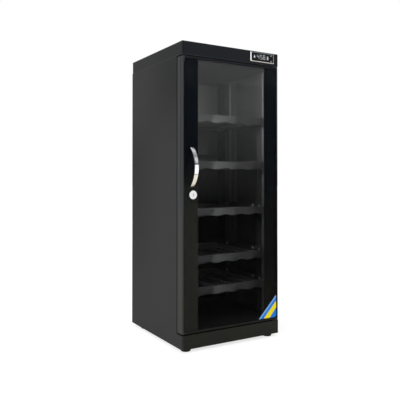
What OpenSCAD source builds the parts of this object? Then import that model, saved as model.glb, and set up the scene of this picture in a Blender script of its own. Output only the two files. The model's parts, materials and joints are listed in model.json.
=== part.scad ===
/* [Cabinet] */
// Width over the side panels
body_w = 395; // [370:1:440]
// Depth from the front of the header to the back of the body
body_d = 397.5; // [380:0.5:450]
// Height of the body above its feet
body_h = 1000; // [900:1:1100]
// Thickness of the steel sheet of the body
sheet_t = 1.2; // [1:0.1:1.5]
// Outer radius of the upright corners
corner_r = 5; // [4:0.5:8]
// Height of the header cap
cap_h = 45; // [42:0.5:60]
// Radius along the top edges of the header cap
cap_edge_r = 3; // [2:0.5:4]
// Height of the plinth below the door
plinth_h = 45.5; // [38:0.5:60]
// Width of the sheet turned in beside the door opening
jamb_w = 18; // [16:0.5:18.5]
// Width of the sheet turned in at the back
rear_flange_w = 15; // [13:0.5:18]
// Radius in the lower inner corner of the door notch
notch_r = 4; // [2:0.5:8]

/* [Feet] */
// Height of a foot below the body
foot_h = 12; // [10:0.5:20]
// Radius of a foot at its top
foot_top_r = 18; // [15:0.5:19]
// Radius of a foot at the ground
foot_base_r = 16; // [12:0.5:18]
// Distance from the side of the body to a foot's centre
foot_inset_x = 30; // [29:0.5:60]
// Distance from the front of the body to a front foot's centre
foot_front_y = 30; // [22:0.5:60]
// Distance from the back of the body to a rear foot's centre
foot_rear_inset = 57.5; // [40:0.5:100]
// Radius of a foot bolt
foot_bolt_r = 4; // [3:0.5:5]

/* [Door] */
// Depth of the door from front to back
door_t = 36; // [30:0.5:44]
// Gap between the door and the plane of each side panel
door_side_gap = 1.5; // [1:0.25:3]
// Gap above the door
door_top_gap = 4; // [3:0.25:6]
// Gap below the door
door_bottom_gap = 4.5; // [3.5:0.25:6]
// Radius of the upright front edges of the door
door_edge_r = 4.5; // [4:0.25:6]
// Width of the steel lip beside the glass
lip_w = 4.5; // [3.5:0.25:6]
// Width of the door from its edge to the window
stile_w = 58.5; // [54:0.5:70]
// Height of the door above and below the window
rail_h = 7; // [6.5:0.25:12]
// Depth of the glass behind the front of the door
glass_recess = 1.8; // [1.7:0.1:3]
// Thickness of the glass
glass_t = 4; // [3:0.5:5]
// Width of the steel frame behind the glass on the hinge side
hinge_stile_w = 30; // [26:0.5:50]
// Thickness of the door gasket
gasket_t = 1.2; // [1:0.1:2]
// Width of the door gasket
gasket_w = 5; // [3:0.5:5]
// Distance from the door's right edge to the hinge axis
pivot_inset = 6.5; // [6.5:0.25:8]
// Distance from the front of the door to the hinge axis
pivot_y = 12; // [12:0.25:14]
// Radius of a hinge pin
pin_r = 3; // [2.5:0.25:3.5]

/* [Handle and lock] */
// Length of the bow handle
handle_len = 127.5; // [100:0.5:160]
// Reach of the bow handle in front of the cabinet
handle_reach = 34.5; // [28:0.5:45]
// Width of the bow handle at the middle
handle_mid_w = 13; // [10:0.5:18]
// Width of the bow handle at its ends
handle_end_w = 8.6; // [7:0.2:9]
// Thickness of the bow handle
handle_t = 3; // [2.5:0.25:4]
// Distance from the left side of the cabinet to the handle and the lock
handle_x = 40.8; // [38:0.2:42]
// Height of the handle's middle above the foot of the body
handle_z = 589.25; // [560:0.25:640]
// Radius of a handle screw
handle_screw_r = 2; // [1.5:0.25:2.5]
// Height of the lock above the foot of the body
lock_z = 499; // [495:0.5:505]
// Radius of the lock's round face
lock_face_r = 14.25; // [12:0.25:15]
// Radius of the lock's barrel
lock_barrel_r = 9.5; // [8.5:0.25:11]
// Radius of the part that the key turns
lock_plug_r = 6; // [5:0.25:7]
// Length of the lock's cam from its axis to the centre of its tip
cam_len = 25; // [22:0.5:27]
// Thickness of the lock's cam
cam_t = 2; // [1.5:0.25:3]

/* [Shelves] */
// Height above the foot of the body of the lowest hole in the posts
first_hole_z = 76.5; // [70:0.5:90]
// Distance between two holes in the posts
hole_pitch = 53.5; // [52:0.25:55]
// Holes, counted from the lowest, that carry the shelves from the top one down
shelf_holes = [13, 10, 7, 4, 2];
// Height of a shelf front at its wavy edge's mean line
front_h = 25.5; // [24:0.5:30]
// Rise and fall of the wavy edge
wave_rise = 2.8; // [1:0.1:4]
// Length of one wave
wave_len = 68; // [50:1:90]
// Thickness of a shelf front
front_t = 3; // [2:0.5:4]
// Distance from the front of the body to a shelf front
front_y0 = 50; // [48:0.5:52]
// Reach of the pull in front of a shelf front
pull_reach = 6; // [4:0.5:8]
// Width of the pull at its top
pull_top_w = 98; // [80:1:120]
// Width of the pull at its bottom
pull_bottom_w = 114; // [100:1:130]
// Width of each slanted end of the pull
pull_bevel_w = 23; // [15:1:30]
// Thickness of a tray's sheet
tray_t = 1; // [0.8:0.1:1.5]
// Depth of a tray below the top of its front
tray_drop = 20; // [18:0.5:21]
// Distance from the back of a tray to the back panel
tray_rear_gap = 27.1; // [20:0.5:33]
// Height of a tray's side walls
tray_side_h = 12; // [8:0.5:14]
// Width of a slot in a tray
slot_w = 12; // [8:0.5:16]
// Distance between two slots in a tray
slot_pitch = 55; // [40:1:70]

/* [Posts and runners] */
// Depth of a post from the side panel to its face
post_depth = 19; // [17:0.5:19]
// Width of the face of a post
post_face_w = 32; // [28:1:36]
// Width of each sloping side of a post
post_slope_w = 23; // [15:1:24]
// Distance from the front of the body to the front posts
front_post_y = 47; // [46:0.5:48]
// Distance from the rear posts to the back panel
rear_post_gap = 56.4; // [44:1:72]
// Radius of a hole in a post
post_hole_r = 3; // [2.5:0.25:4]
// Thickness of a runner
runner_t = 1.5; // [1:0.1:2]
// Width of the ledge of a runner
runner_ledge_w = 13; // [10:0.5:18]

/* [Display] */
// Width of the display bezel
bezel_w = 103; // [96:1:110]
// Height of the display bezel
bezel_h = 35.4; // [34:0.2:38]
// Distance from the right side of the body to the bezel
bezel_right = 21; // [15:0.5:60]
// Width of the bezel's rim
bezel_rim = 3.5; // [3:0.5:5]
// Reach of the bezel in front of the header
bezel_reach = 3; // [2.5:0.25:5]
// Width of the long button
set_button_w = 6; // [5:0.5:8]
// Height of the long button
set_button_h = 13; // [11:0.5:16]
// Size of a small button
small_button = 4.5; // [4.5:0.5:6]
// Travel of a button
button_travel = 0.8; // [0.5:0.1:1]

/* [Dryer] */
// Width of the dryer unit
dryer_w = 237; // [220:1:260]
// Height of the dryer unit
dryer_h = 69; // [66:0.5:80]
// Height of the dryer unit's bottom above the foot of the body
dryer_z = 651; // [645:1:660]
// Depth of the dryer unit
dryer_d = 43.1; // [43.1:0.5:45.1]
// Width of the air duct in the dryer unit
duct_w = 94; // [80:1:96]
// Height of a shutter
shutter_h = 24; // [20:0.5:24]
// Angle between an open and a closed shutter
shutter_angle = 40; // [20:1:42]

/* [Hidden] */
$fn = 48;

// Cuts run past the faces that they open by this much
over = 1;
// Gap between flat faces of pieces that slide past each other
slide_gap = 0.3;
// Gap round a shaft that turns or slides in its bore
run_gap = 0.05;
// Gap round a screw or bush in its hole
seat_gap = 0.03;

// Shared frame: middle of the outline, ground at zero
screw_head_h = 1.8;
screw_head_r = 3.5;
screw_r = 1.5;
screw_bite = 5;
body_front_y = (handle_reach - body_d - screw_head_h) / 2;

// Levels and edges inside the body, measured from its front left foot
cap_z = body_h - cap_h;
inner_w = body_w - 2 * sheet_t;
jamb_y = door_t + gasket_t + slide_gap;
jamb_back_y = jamb_y + sheet_t;
back_inner_y = body_d - 2 * sheet_t;
door_z = plinth_h + door_bottom_gap;
door_h = cap_z - door_top_gap - door_z;
door_w = body_w - 2 * door_side_gap;
window_z = door_z + rail_h;
window_h = door_h - 2 * rail_h;
window_x = door_side_gap + stile_w;
window_w = door_w - 2 * stile_w;
chamber_h = window_h;
ceiling_z = window_z + chamber_h;
tongue_h = cap_h - 2 * cap_edge_r;
lap_h = 10;
bottom_flange_w = 10;
foot_xs = [foot_inset_x, body_w - foot_inset_x];
foot_ys = [foot_front_y, body_d - foot_rear_inset];

// Foot section
foot_edge_r = 1;
foot_pocket_r = 9;
foot_pocket_h = 6;
bolt_flange_r = 8;
bolt_flange_h = 3;
bolt_nut_r = 7.5;
bolt_nut_h = 6;

// Posts, runners and trays from the side panel inwards
post_face_x = sheet_t + post_depth;
rear_post_y = back_inner_y - rear_post_gap - 2 * post_slope_w - post_face_w;
post_faces = [front_post_y + post_slope_w + post_face_w / 2,
    rear_post_y + post_slope_w + post_face_w / 2];
hole_end = 10;
hole_count = floor((ceiling_z - hole_end - first_hole_z) / hole_pitch) + 1;
runner_face_x = post_face_x + runner_t;
tray_side_gap = 3;
tray_x = runner_face_x + tray_side_gap;
tray_w = body_w - 2 * tray_x;
front_side_gap = 0.5;
front_x = post_face_x + front_side_gap;
front_w = body_w - 2 * front_x;
tray_y = front_y0 + front_t;
tray_rear_y = back_inner_y - tray_rear_gap;
runner_overhang = 4;
runner_y = front_post_y + post_slope_w - runner_overhang;
runner_rear_gap = 6;
runner_len = tray_rear_y - runner_rear_gap - runner_y;
runner_drop = tray_drop + tray_t + slide_gap + runner_t;
runner_top = 8;
runner_screw_r = 2.5;
runner_head_r = 4.5;
runner_head_h = 2;
runner_screw_back = 6;
keeper_y = 121;
keeper_r = 3.5;
keeper_len = 5.5;
keeper_rise = 2;
stop_from_end = 7;
stop_drop = tray_drop - keeper_r;
upstand_drop = 2;
lip_depth = 8;
lip_t = 2.5;
slot_end = 40;
slot_margin = 12;
pull_foot_reach = 1.5;
pull_nose_r = 2;
wave_steps = 12;

// Layers of the door from front to back
door_sheet = sheet_t;
glass_side = 3;
glass_end = 1.5;
glass_y = glass_recess;
print_t = 0.3;
print_y = glass_y + glass_t;
frame_y = print_y + print_t;
frame_wall = 1.2;
frame_flange_w = 10;
pivot_x = body_w - door_side_gap - pivot_inset;
bush_r = 5;
bush_h = 14;
pin_grip = 12;
block_w = 15;
block_d = 15;
block_h = 18;
bracket_t = 2;
bracket_w = 24;
bracket_d = 26;
bracket_y = 3;
collar_gap = 0.1;
gasket_side = 6.5;
gasket_end = 1;

// Handle bow: an arc through its two ends and its furthest point
bow_rise = handle_reach + glass_y;
bow_half = handle_len / 2;
bow_r = (bow_half * bow_half + bow_rise * bow_rise) / (2 * bow_rise);
bow_y = bow_r - handle_reach;
side_rise = (handle_mid_w - handle_end_w) / 2;
side_r = (bow_half * bow_half + side_rise * side_rise) / (2 * side_rise);
handle_foot = 11;
handle_bore_inset = 6.5;
handle_bore_depth = 6;
handle_head_r = 4;
handle_head_h = 2.2;
fine = 360;

// Lock from front to back
lock_face_t = 3;
lock_face_edge = 1;
lock_nut_r = 13;
lock_nut_t = 3.5;
strike_t = 1.2;
strike_w = 15;
strike_h = 80;
cam_gap = 0.5;
cam_y = jamb_back_y + strike_t + cam_gap;
cam_hub_r = 9;
cam_tip_r = 6.5;
cam_screw_r = 2;
cam_head_r = 3.6;
cam_head_h = 2.2;
cam_screw_len = 8;
plug_proud = 0.4;
key_w = 1.8;
key_h = 8;
key_depth = 8;

// Display module
bezel_x = body_w - bezel_right - bezel_w;
bezel_rise = 1.8;
bezel_z = cap_z + (cap_h - bezel_h) / 2 + bezel_rise;
bezel_end_rim = 3;
bezel_corner_r = 4;
bezel_front_r = 2.4;
lens_w = bezel_w - 2 * bezel_rim;
lens_h = bezel_h - 2 * bezel_end_rim;
lens_x = bezel_x + bezel_rim;
lens_z = bezel_z + (bezel_h - lens_h) / 2;
lens_t = 1.8;
lens_y = -lens_t;
lens_corner_r = 2;
module_wall = 0.8;
module_depth = 12;
lens_lap = 0.5;
module_w = lens_w - 2 * lens_lap;
module_h = lens_h - 2 * lens_lap;
button_gap = 0.3;
button_proud = 0.9;
button_flange = 0.8;
button_flange_t = 1;
flange_gap = 0.1;
switch_gap = 0.1;
button_len = 7;
board_t = 1.6;
switch_t = 3.2;
set_from_right = 24.9;
small_from_right = 9.5;
button_r = 2.2;
set_button_x = lens_x + lens_w - set_from_right;
small_button_x = lens_x + lens_w - small_from_right;
button_mid_z = lens_z + lens_h / 2;
small_pitch = module_h - 2 * (module_wall + button_flange + button_gap) - small_button;
button_y = lens_y - button_proud;
switch_y = button_y + button_len + button_travel + switch_gap;

// Dryer unit
dryer_x = (body_w - dryer_w) / 2;
dryer_y = back_inner_y - dryer_d;
dryer_wall = 2;
cover_t = 4;
housing_y = dryer_y + cover_t;
housing_d = back_inner_y - housing_y;
duct_wall = 3;
duct_x = (body_w - duct_w) / 2;
shutter_t = 1.6;
shutter_pin_r = 2;
shutter_side_gap = 0.5;
shutter_floor_gap = 3;
shutter_z = dryer_z + dryer_wall + shutter_floor_gap + shutter_h / 2;
shutter_swing = shutter_h / 2 * sin(shutter_angle) + shutter_t;
inner_shutter_y = housing_y + shutter_swing + over;
outer_shutter_y = back_inner_y - dryer_wall - shutter_swing - over;
exhaust_side = 2;
exhaust_w = duct_w - 2 * exhaust_side;
exhaust_h = shutter_h;
louvre_h = 2.5;
louvre_pitch = 6;
cover_margin = 8;
cover_slot_h = 4;
cover_slot_pitch = 9;
cover_slot_w = 44;
cover_columns = 4;
pack_gap = 3;
pack_w = (dryer_w - duct_w) / 2 - duct_wall - dryer_wall - 2 * pack_gap;
heater_w = 80;
heater_fins = 9;
heater_fin_t = 2;
heater_fin_d = 14;
heater_base_t = 4;
heater_gap = 4;
grille_margin = 14;

// Pieces in the header and on the back
board_w = 130;
board_d = 90;
board_off_middle = 7.5;
board_rear_gap = 125.1;
board_x = (body_w - board_w) / 2 + board_off_middle;
board_y = back_inner_y - board_rear_gap - board_d;
standoff_h = 6;
standoff_r = 3;
inlet_x = 60;
inlet_rise = 27;
inlet_z = cap_z + inlet_rise;
inlet_r = 5.5;
inlet_bore_r = 2.9;
inlet_pin_r = 1;
inlet_flange_r = 7.5;
inlet_flange_t = 1.5;
inlet_depth = 13;
inlet_bore_depth = 10;
inlet_nut_r = 8;
inlet_nut_t = 2.5;
sensor_x = 45;
sensor_y = 120;
sensor_w = 32;
sensor_d = 22;
sensor_h = 12;
side_screw_count = 5;
cap_screw_count = 4;
screw_end = 60;

// Points on one wave of a shelf front's lower edge
function wave_z(x) = -front_h + wave_rise * cos(360 * x / wave_len);

// Place of the body's front left foot corner in the shared frame
module in_body() {
    translate([-body_w / 2, body_front_y, foot_h]) children();
}

// The same piece on the right side of the body
module on_right() {
    translate([body_w, 0, 0]) mirror([1, 0, 0]) children();
}

// A flat outline in X and Z, drawn out towards +Y
module along_y(len) {
    translate([0, len, 0]) rotate([90, 0, 0]) linear_extrude(len) children();
}

// A flat outline in Y and Z, drawn out towards +X
module along_x(len) {
    rotate([90, 0, 90]) linear_extrude(len) children();
}

module rod_y(r, len) {
    rotate([-90, 0, 0]) cylinder(r = r, h = len);
}

module rod_x(r, len) {
    rotate([0, 90, 0]) cylinder(r = r, h = len);
}

// Rectangle with four round corners
module round_rect(w, h, r) {
    translate([r, 0]) square([w - 2 * r, h]);
    translate([0, r]) square([w, h - 2 * r]);
    for (x = [r, w - r], y = [r, h - r]) translate([x, y]) circle(r);
}

// Rectangle with two round corners at its far edge
module arch_rect(w, h, r) {
    square([w, h - r]);
    translate([r, 0]) square([w - 2 * r, h]);
    for (x = [r, w - r]) translate([x, h - r]) circle(r);
}

// Box with round upright corners and a round edge along its top
module cap_shape(w, d, h, r_plan, r_top) {
    intersection() {
        linear_extrude(h) round_rect(w, d, r_plan);
        along_y(d) arch_rect(w, h, r_top);
        along_x(w) arch_rect(d, h, r_top);
    }
}

// Outline of the body seen from above, moved in by a wall
module plan_inside(wall) {
    translate([wall, wall]) round_rect(body_w - 2 * wall, body_d - 2 * wall, corner_r - wall);
}

// Pan head screw whose head starts at zero and whose shank runs towards -Y
module pan_screw(head_r, head_h, r, len) {
    edge = head_h / 2;
    rotate([-90, 0, 0]) rotate_extrude() {
        square([head_r, head_h - edge]);
        square([head_r - edge, head_h]);
        intersection() {
            translate([head_r - edge, head_h - edge]) circle(edge);
            square([head_r, head_h]);
        }
    }
    translate([0, -len, 0]) rod_y(r, len + head_h / 4);
}

// Places of the screws that hold the back panel to the side flanges
module at_side_screws() {
    step = (cap_z - 2 * screw_end) / (side_screw_count - 1);
    for (x = [rear_flange_w / 2, body_w - rear_flange_w / 2], i = [0:side_screw_count - 1])
        translate([x, 0, screw_end + i * step]) children();
}

// Places of the screws through the back of the header cap
module at_cap_screws() {
    step = (body_w - 2 * screw_end) / (cap_screw_count - 1);
    for (i = [0:cap_screw_count - 1])
        translate([screw_end + i * step, 0, cap_z + lap_h / 2]) children();
}

// Folded sheet of one side: wall, jamb, rear flange, foot flange and tongue under the cap
module side_panel() {
    difference() {
        union() {
            translate([0, jamb_y, plinth_h]) cube([sheet_t, body_d - jamb_y, cap_z - plinth_h]);
            translate([0, jamb_y, plinth_h]) cube([jamb_w, sheet_t, cap_z - plinth_h]);
            translate([0, corner_r, 0]) cube([sheet_t, body_d - corner_r, plinth_h]);
            linear_extrude(plinth_h) intersection() {
                difference() {
                    round_rect(body_w, body_d, corner_r);
                    plan_inside(sheet_t);
                }
                square(corner_r);
            }
            translate([0, body_d - sheet_t, 0]) cube([rear_flange_w, sheet_t, cap_z]);
            translate([0, foot_edge_r + corner_r, 0])
                cube([bottom_flange_w, back_inner_y - corner_r - foot_edge_r, sheet_t]);
            translate([sheet_t, jamb_back_y, ceiling_z + sheet_t])
                cube([sheet_t, back_inner_y - jamb_back_y - corner_r,
                    cap_z + tongue_h - ceiling_z - sheet_t]);
            along_x(sheet_t) difference() {
                translate([jamb_y - notch_r, plinth_h - over])
                    square([notch_r + over, notch_r + over]);
                translate([jamb_y - notch_r, plinth_h + notch_r]) circle(notch_r);
            }
        }
        at_side_screws() translate([0, body_d - sheet_t - over, 0])
            rod_y(screw_r + seat_gap, sheet_t + 2 * over);
    }
}

module left_side_panel() {
    color([0.13, 0.13, 0.14]) in_body() side_panel();
}

module right_side_panel() {
    color([0.13, 0.13, 0.14]) in_body() on_right() side_panel();
}

module back_panel() {
    color([0.12, 0.12, 0.13]) in_body() difference() {
        union() {
            translate([sheet_t, back_inner_y, 0]) cube([inner_w, sheet_t, cap_z]);
            translate([corner_r, back_inner_y, 0]) cube([body_w - 2 * corner_r, sheet_t, cap_z + lap_h]);
        }
        at_side_screws() translate([0, back_inner_y - over, 0])
            rod_y(screw_r + seat_gap, sheet_t + 2 * over);
        at_cap_screws() translate([0, back_inner_y - over, 0])
            rod_y(screw_r + seat_gap, sheet_t + 2 * over);
        translate([(body_w - exhaust_w) / 2, back_inner_y - over, shutter_z - exhaust_h / 2])
            cube([exhaust_w, sheet_t + 2 * over, exhaust_h]);
    }
}

// Folded lid with a return under its front edge, over the door
module top_cap() {
    module window() {
        translate([lens_x + (lens_w - module_w) / 2, -over, lens_z + (lens_h - module_h) / 2])
            cube([module_w, sheet_t + 2 * over, module_h]);
    }
    color([0.12, 0.13, 0.15]) in_body() difference() {
        union() {
            difference() {
                translate([0, 0, cap_z])
                    cap_shape(body_w, body_d, cap_h, corner_r, cap_edge_r);
                translate([sheet_t, sheet_t, cap_z - over])
                    cap_shape(inner_w, body_d - 2 * sheet_t, cap_h + over - sheet_t,
                        corner_r - sheet_t, cap_edge_r - sheet_t);
            }
            translate([0, 0, cap_z]) linear_extrude(sheet_t) intersection() {
                plan_inside(0);
                square([body_w, jamb_back_y]);
            }
        }
        window();
        at_cap_screws() translate([0, body_d - sheet_t - over, 0])
            rod_y(screw_r + seat_gap, sheet_t + 2 * over);
        translate([inlet_x, body_d - sheet_t - over, inlet_z])
            rod_y(inlet_r + seat_gap, sheet_t + 2 * over);
        translate([pivot_x, pivot_y, cap_z - over]) cylinder(r = pin_r + seat_gap, h = sheet_t + 2 * over);
    }
}

// Sheet over the chamber, turned up behind the top of the door
module inner_ceiling() {
    color([0.2, 0.2, 0.2]) in_body() {
        translate([sheet_t, jamb_back_y, ceiling_z])
            cube([inner_w, back_inner_y - jamb_back_y, sheet_t]);
        translate([jamb_w, jamb_y, ceiling_z])
            cube([body_w - 2 * jamb_w, sheet_t, cap_z - ceiling_z]);
    }
}

// Floor of the chamber, turned down behind the foot of the door
module floor_pan() {
    color([0.16, 0.16, 0.16]) in_body() {
        translate([sheet_t, jamb_back_y, window_z - sheet_t])
            cube([inner_w, back_inner_y - jamb_back_y, sheet_t]);
        translate([jamb_w, jamb_y, plinth_h])
            cube([body_w - 2 * jamb_w, sheet_t, window_z - plinth_h]);
        for (x = [sheet_t, body_w - 2 * sheet_t])
            translate([x, jamb_back_y, window_z - sheet_t - lap_h])
                cube([sheet_t, back_inner_y - jamb_back_y, lap_h]);
    }
}

// Bottom sheet and plinth, folded from one piece
module base_pan() {
    color([0.16, 0.16, 0.14]) in_body() difference() {
        union() {
            translate([0, 0, sheet_t]) linear_extrude(sheet_t) intersection() {
                plan_inside(sheet_t);
                square([body_w, back_inner_y]);
            }
            translate([corner_r, 0, 0]) cube([body_w - 2 * corner_r, sheet_t, plinth_h]);
            translate([0, 0, plinth_h - sheet_t]) linear_extrude(sheet_t) {
                intersection() {
                    plan_inside(sheet_t);
                    square([body_w, jamb_back_y]);
                }
                translate([corner_r, 0]) square([body_w - 2 * corner_r, 2 * sheet_t]);
            }
        }
        for (x = foot_xs, y = foot_ys) translate([x, y, 0])
            cylinder(r = foot_bolt_r + seat_gap, h = 3 * sheet_t);
        translate([pivot_x, pivot_y, plinth_h - 2 * sheet_t])
            cylinder(r = pin_r + seat_gap, h = 3 * sheet_t);
    }
}

// Pressed post with sloping sides and a column of holes
module post(y) {
    len = ceiling_z - window_z;
    difference() {
        translate([0, y, window_z]) linear_extrude(len) difference() {
            polygon([[sheet_t, 0], [post_face_x, post_slope_w],
                [post_face_x, post_slope_w + post_face_w], [sheet_t, 2 * post_slope_w + post_face_w]]);
            polygon([[sheet_t - over, 2 * sheet_t], [post_face_x - sheet_t, post_slope_w + sheet_t / 2],
                [post_face_x - sheet_t, post_slope_w + post_face_w - sheet_t / 2],
                [sheet_t - over, 2 * post_slope_w + post_face_w - 2 * sheet_t]]);
        }
        for (i = [0:hole_count - 1])
            translate([post_face_x - 2 * sheet_t, y + post_slope_w + post_face_w / 2,
                first_hole_z + i * hole_pitch]) rod_x(post_hole_r, 3 * sheet_t);
    }
}

module front_left_post() {
    color([0.3, 0.3, 0.3]) in_body() post(front_post_y);
}

module front_right_post() {
    color([0.3, 0.3, 0.3]) in_body() on_right() post(front_post_y);
}

module rear_left_post() {
    color([0.3, 0.3, 0.3]) in_body() post(rear_post_y);
}

module rear_right_post() {
    color([0.3, 0.3, 0.3]) in_body() on_right() post(rear_post_y);
}

function shelf_z(i) = first_hole_z + shelf_holes[i] * hole_pitch;

// Angle that a tray slides on, one for each shelf
module runners() {
    for (i = [0:len(shelf_holes) - 1]) translate([post_face_x, runner_y, shelf_z(i)]) difference() {
        union() {
            translate([0, 0, -runner_drop]) cube([runner_t, runner_len, runner_drop + runner_top]);
            translate([0, 0, -runner_drop]) cube([runner_ledge_w, runner_len, runner_t]);
        }
        for (y = post_faces) translate([-over, y - runner_y, 0])
            rod_x(runner_screw_r + seat_gap, runner_t + 2 * over);
    }
}

module left_runners() {
    color([0.32, 0.32, 0.32]) in_body() runners();
}

module right_runners() {
    color([0.32, 0.32, 0.32]) in_body() on_right() runners();
}

// Screws that hold the runners to the posts
module runner_screws() {
    module side() {
        for (i = [0:len(shelf_holes) - 1], y = post_faces)
            translate([runner_face_x, y, shelf_z(i)]) {
                rod_x(runner_head_r, runner_head_h);
                translate([-runner_screw_back, 0, 0]) rod_x(runner_screw_r, runner_screw_back);
            }
    }
    color("silver") in_body() {
        side();
        on_right() side();
    }
}

// Front keepers that stop a tray from tipping, and guides beside its rear end
module runner_studs() {
    module side() {
        for (i = [0:len(shelf_holes) - 1]) {
            translate([runner_face_x, keeper_y, shelf_z(i) + keeper_rise])
                rod_x(keeper_r, keeper_len);
            translate([runner_face_x, runner_y + runner_len - stop_from_end, shelf_z(i) - stop_drop])
                rod_x(keeper_r, runner_head_h);
        }
    }
    color("silver") in_body() {
        side();
        on_right() side();
    }
}

// Tapered rubber feet with a pocket for the bolt's flange
module foot_pads() {
    pad_h = foot_h + sheet_t;
    color([0.05, 0.05, 0.05]) in_body() for (x = foot_xs, y = foot_ys) translate([x, y, -foot_h])
        rotate_extrude() difference() {
            polygon([[0, 0], [foot_base_r - foot_edge_r, 0], [foot_base_r, foot_edge_r],
                [foot_top_r, pad_h - foot_edge_r], [foot_top_r - foot_edge_r, pad_h], [0, pad_h]]);
            translate([-over, -over]) square([foot_pocket_r + over, foot_pocket_h + over]);
            translate([-over, 0]) square([foot_bolt_r + seat_gap + over, pad_h + over]);
        }
}

module foot_bolts() {
    nut_z = foot_h + 2 * sheet_t;
    color("silver") in_body() for (x = foot_xs, y = foot_ys) translate([x, y, -foot_h]) {
        translate([0, 0, foot_pocket_h - bolt_flange_h]) cylinder(r = bolt_flange_r, h = bolt_flange_h);
        translate([0, 0, foot_pocket_h - over])
            cylinder(r = foot_bolt_r, h = nut_z + bolt_nut_h + 2 * over - foot_pocket_h);
        translate([0, 0, nut_z]) cylinder(r = bolt_nut_r, h = bolt_nut_h, $fn = 6);
    }
}

// Round bores that carry the shutters' pins
module shutter_bores() {
    for (y = [inner_shutter_y, outer_shutter_y])
        translate([duct_x - duct_wall - over, y, shutter_z])
            rod_x(shutter_pin_r + run_gap, duct_w + 2 * duct_wall + 2 * over);
}

// Moulded tub on the back wall, open to the front, with an air duct between two walls
module dryer_housing() {
    color([0.08, 0.08, 0.08]) in_body() difference() {
        union() {
            difference() {
                translate([dryer_x, housing_y, dryer_z]) cube([dryer_w, housing_d, dryer_h]);
                translate([dryer_x + dryer_wall, housing_y - over, dryer_z + dryer_wall])
                    cube([dryer_w - 2 * dryer_wall, housing_d + over - dryer_wall,
                        dryer_h - 2 * dryer_wall]);
            }
            for (x = [duct_x - duct_wall, duct_x + duct_w]) translate([x, housing_y, dryer_z])
                cube([duct_wall, housing_d, dryer_h - dryer_wall]);
        }
        translate([(body_w - exhaust_w) / 2, back_inner_y - dryer_wall - over,
            shutter_z - exhaust_h / 2]) cube([exhaust_w, dryer_wall + 2 * over, exhaust_h]);
        shutter_bores();
    }
}

// Front cover with rows of air slots
module dryer_cover() {
    rows = floor((dryer_h - 2 * cover_margin) / cover_slot_pitch);
    step = (dryer_w - 2 * cover_margin - cover_slot_w) / (cover_columns - 1);
    color([0.1, 0.1, 0.1]) in_body() translate([dryer_x, dryer_y, dryer_z]) difference() {
        along_y(cover_t) round_rect(dryer_w, dryer_h, corner_r);
        for (i = [0:cover_columns - 1], j = [0:rows - 1])
            translate([cover_margin + i * step, -over, cover_margin + cover_slot_h / 2 + j * cover_slot_pitch])
                along_y(cover_t + 2 * over) round_rect(cover_slot_w, cover_slot_h, cover_slot_h / 2 - seat_gap);
    }
}

// Two packs of drying beads, one on each side of the duct
module desiccant_packs() {
    pack_h = dryer_h - 2 * dryer_wall - pack_gap;
    pack_d = housing_d - dryer_wall - pack_gap;
    color([0.85, 0.8, 0.7]) in_body()
        for (x = [dryer_x + dryer_wall + pack_gap, body_w - dryer_x - dryer_wall - pack_gap - pack_w])
            translate([x, back_inner_y - dryer_wall - pack_d, dryer_z + dryer_wall])
                cap_shape(pack_w, pack_d, pack_h, corner_r, corner_r);
}

// Finned heater at the top of the duct
module dryer_heater() {
    z = shutter_z + shutter_h / 2 + heater_gap;
    h = dryer_z + dryer_h - dryer_wall - heater_gap - z;
    step = (heater_w - heater_fin_t) / (heater_fins - 1);
    color([0.6, 0.6, 0.6]) in_body() translate([(body_w - heater_w) / 2, 0, z]) {
        translate([0, back_inner_y - dryer_wall - heater_base_t, 0]) cube([heater_w, heater_base_t, h]);
        for (i = [0:heater_fins - 1])
            translate([i * step, back_inner_y - dryer_wall - heater_base_t - heater_fin_d, 0])
                cube([heater_fin_t, heater_fin_d + over, h]);
    }
}

// Flap that turns on two pins at the middle of its height
module shutter() {
    w = duct_w - 2 * shutter_side_gap;
    translate([-w / 2, -shutter_t / 2, -shutter_h / 2]) along_y(shutter_t)
        round_rect(w, shutter_h, shutter_t);
    translate([-duct_w / 2 - duct_wall, 0, 0]) rod_x(shutter_pin_r, duct_w + 2 * duct_wall);
}

module inner_shutter() {
    color([0.2, 0.2, 0.2]) in_body() translate([body_w / 2, inner_shutter_y, shutter_z])
        rotate([shutter_angle, 0, 0]) shutter();
}

module outer_shutter() {
    color([0.2, 0.2, 0.2]) in_body() translate([body_w / 2, outer_shutter_y, shutter_z]) shutter();
}

// Slotted plate over the dryer's outlet on the back of the cabinet
module exhaust_grille() {
    w = exhaust_w + 2 * grille_margin;
    h = exhaust_h + 2 * grille_margin;
    rows = floor(exhaust_h / louvre_pitch);
    color([0.07, 0.07, 0.07]) in_body() translate([(body_w - w) / 2, body_d - sheet_t, shutter_z - h / 2])
        difference() {
            along_y(sheet_t) round_rect(w, h, corner_r);
            for (i = [0:rows - 1])
                translate([grille_margin, -over, h / 2 + (i - (rows - 1) / 2) * louvre_pitch - louvre_h / 2])
                    cube([exhaust_w, sheet_t + 2 * over, louvre_h]);
        }
}

// Circuit board in the header with its transformer, relay and capacitors
module control_board() {
    board_z = ceiling_z + sheet_t + standoff_h;
    top_z = board_z + board_t;
    color([0.1, 0.35, 0.2]) in_body() {
        translate([board_x, board_y, board_z]) cube([board_w, board_d, board_t]);
        for (x = [2 * standoff_r, board_w - 2 * standoff_r], y = [2 * standoff_r, board_d - 2 * standoff_r])
            translate([board_x + x, board_y + y, ceiling_z + sheet_t])
                cylinder(r = standoff_r, h = standoff_h);
        translate([board_x + board_w / 8, board_y + board_d / 4, top_z])
            cube([board_w / 4, board_d / 2, cap_h / 2]);
        translate([board_x + board_w / 2, board_y + board_d / 8, top_z])
            cube([board_w / 8, board_d / 4, cap_h / 3]);
        for (y = [board_d / 2, board_d * 3 / 4]) translate([board_x + board_w * 3 / 4, board_y + y, top_z])
            cylinder(r = 2 * standoff_r, h = cap_h / 3);
    }
}

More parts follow.
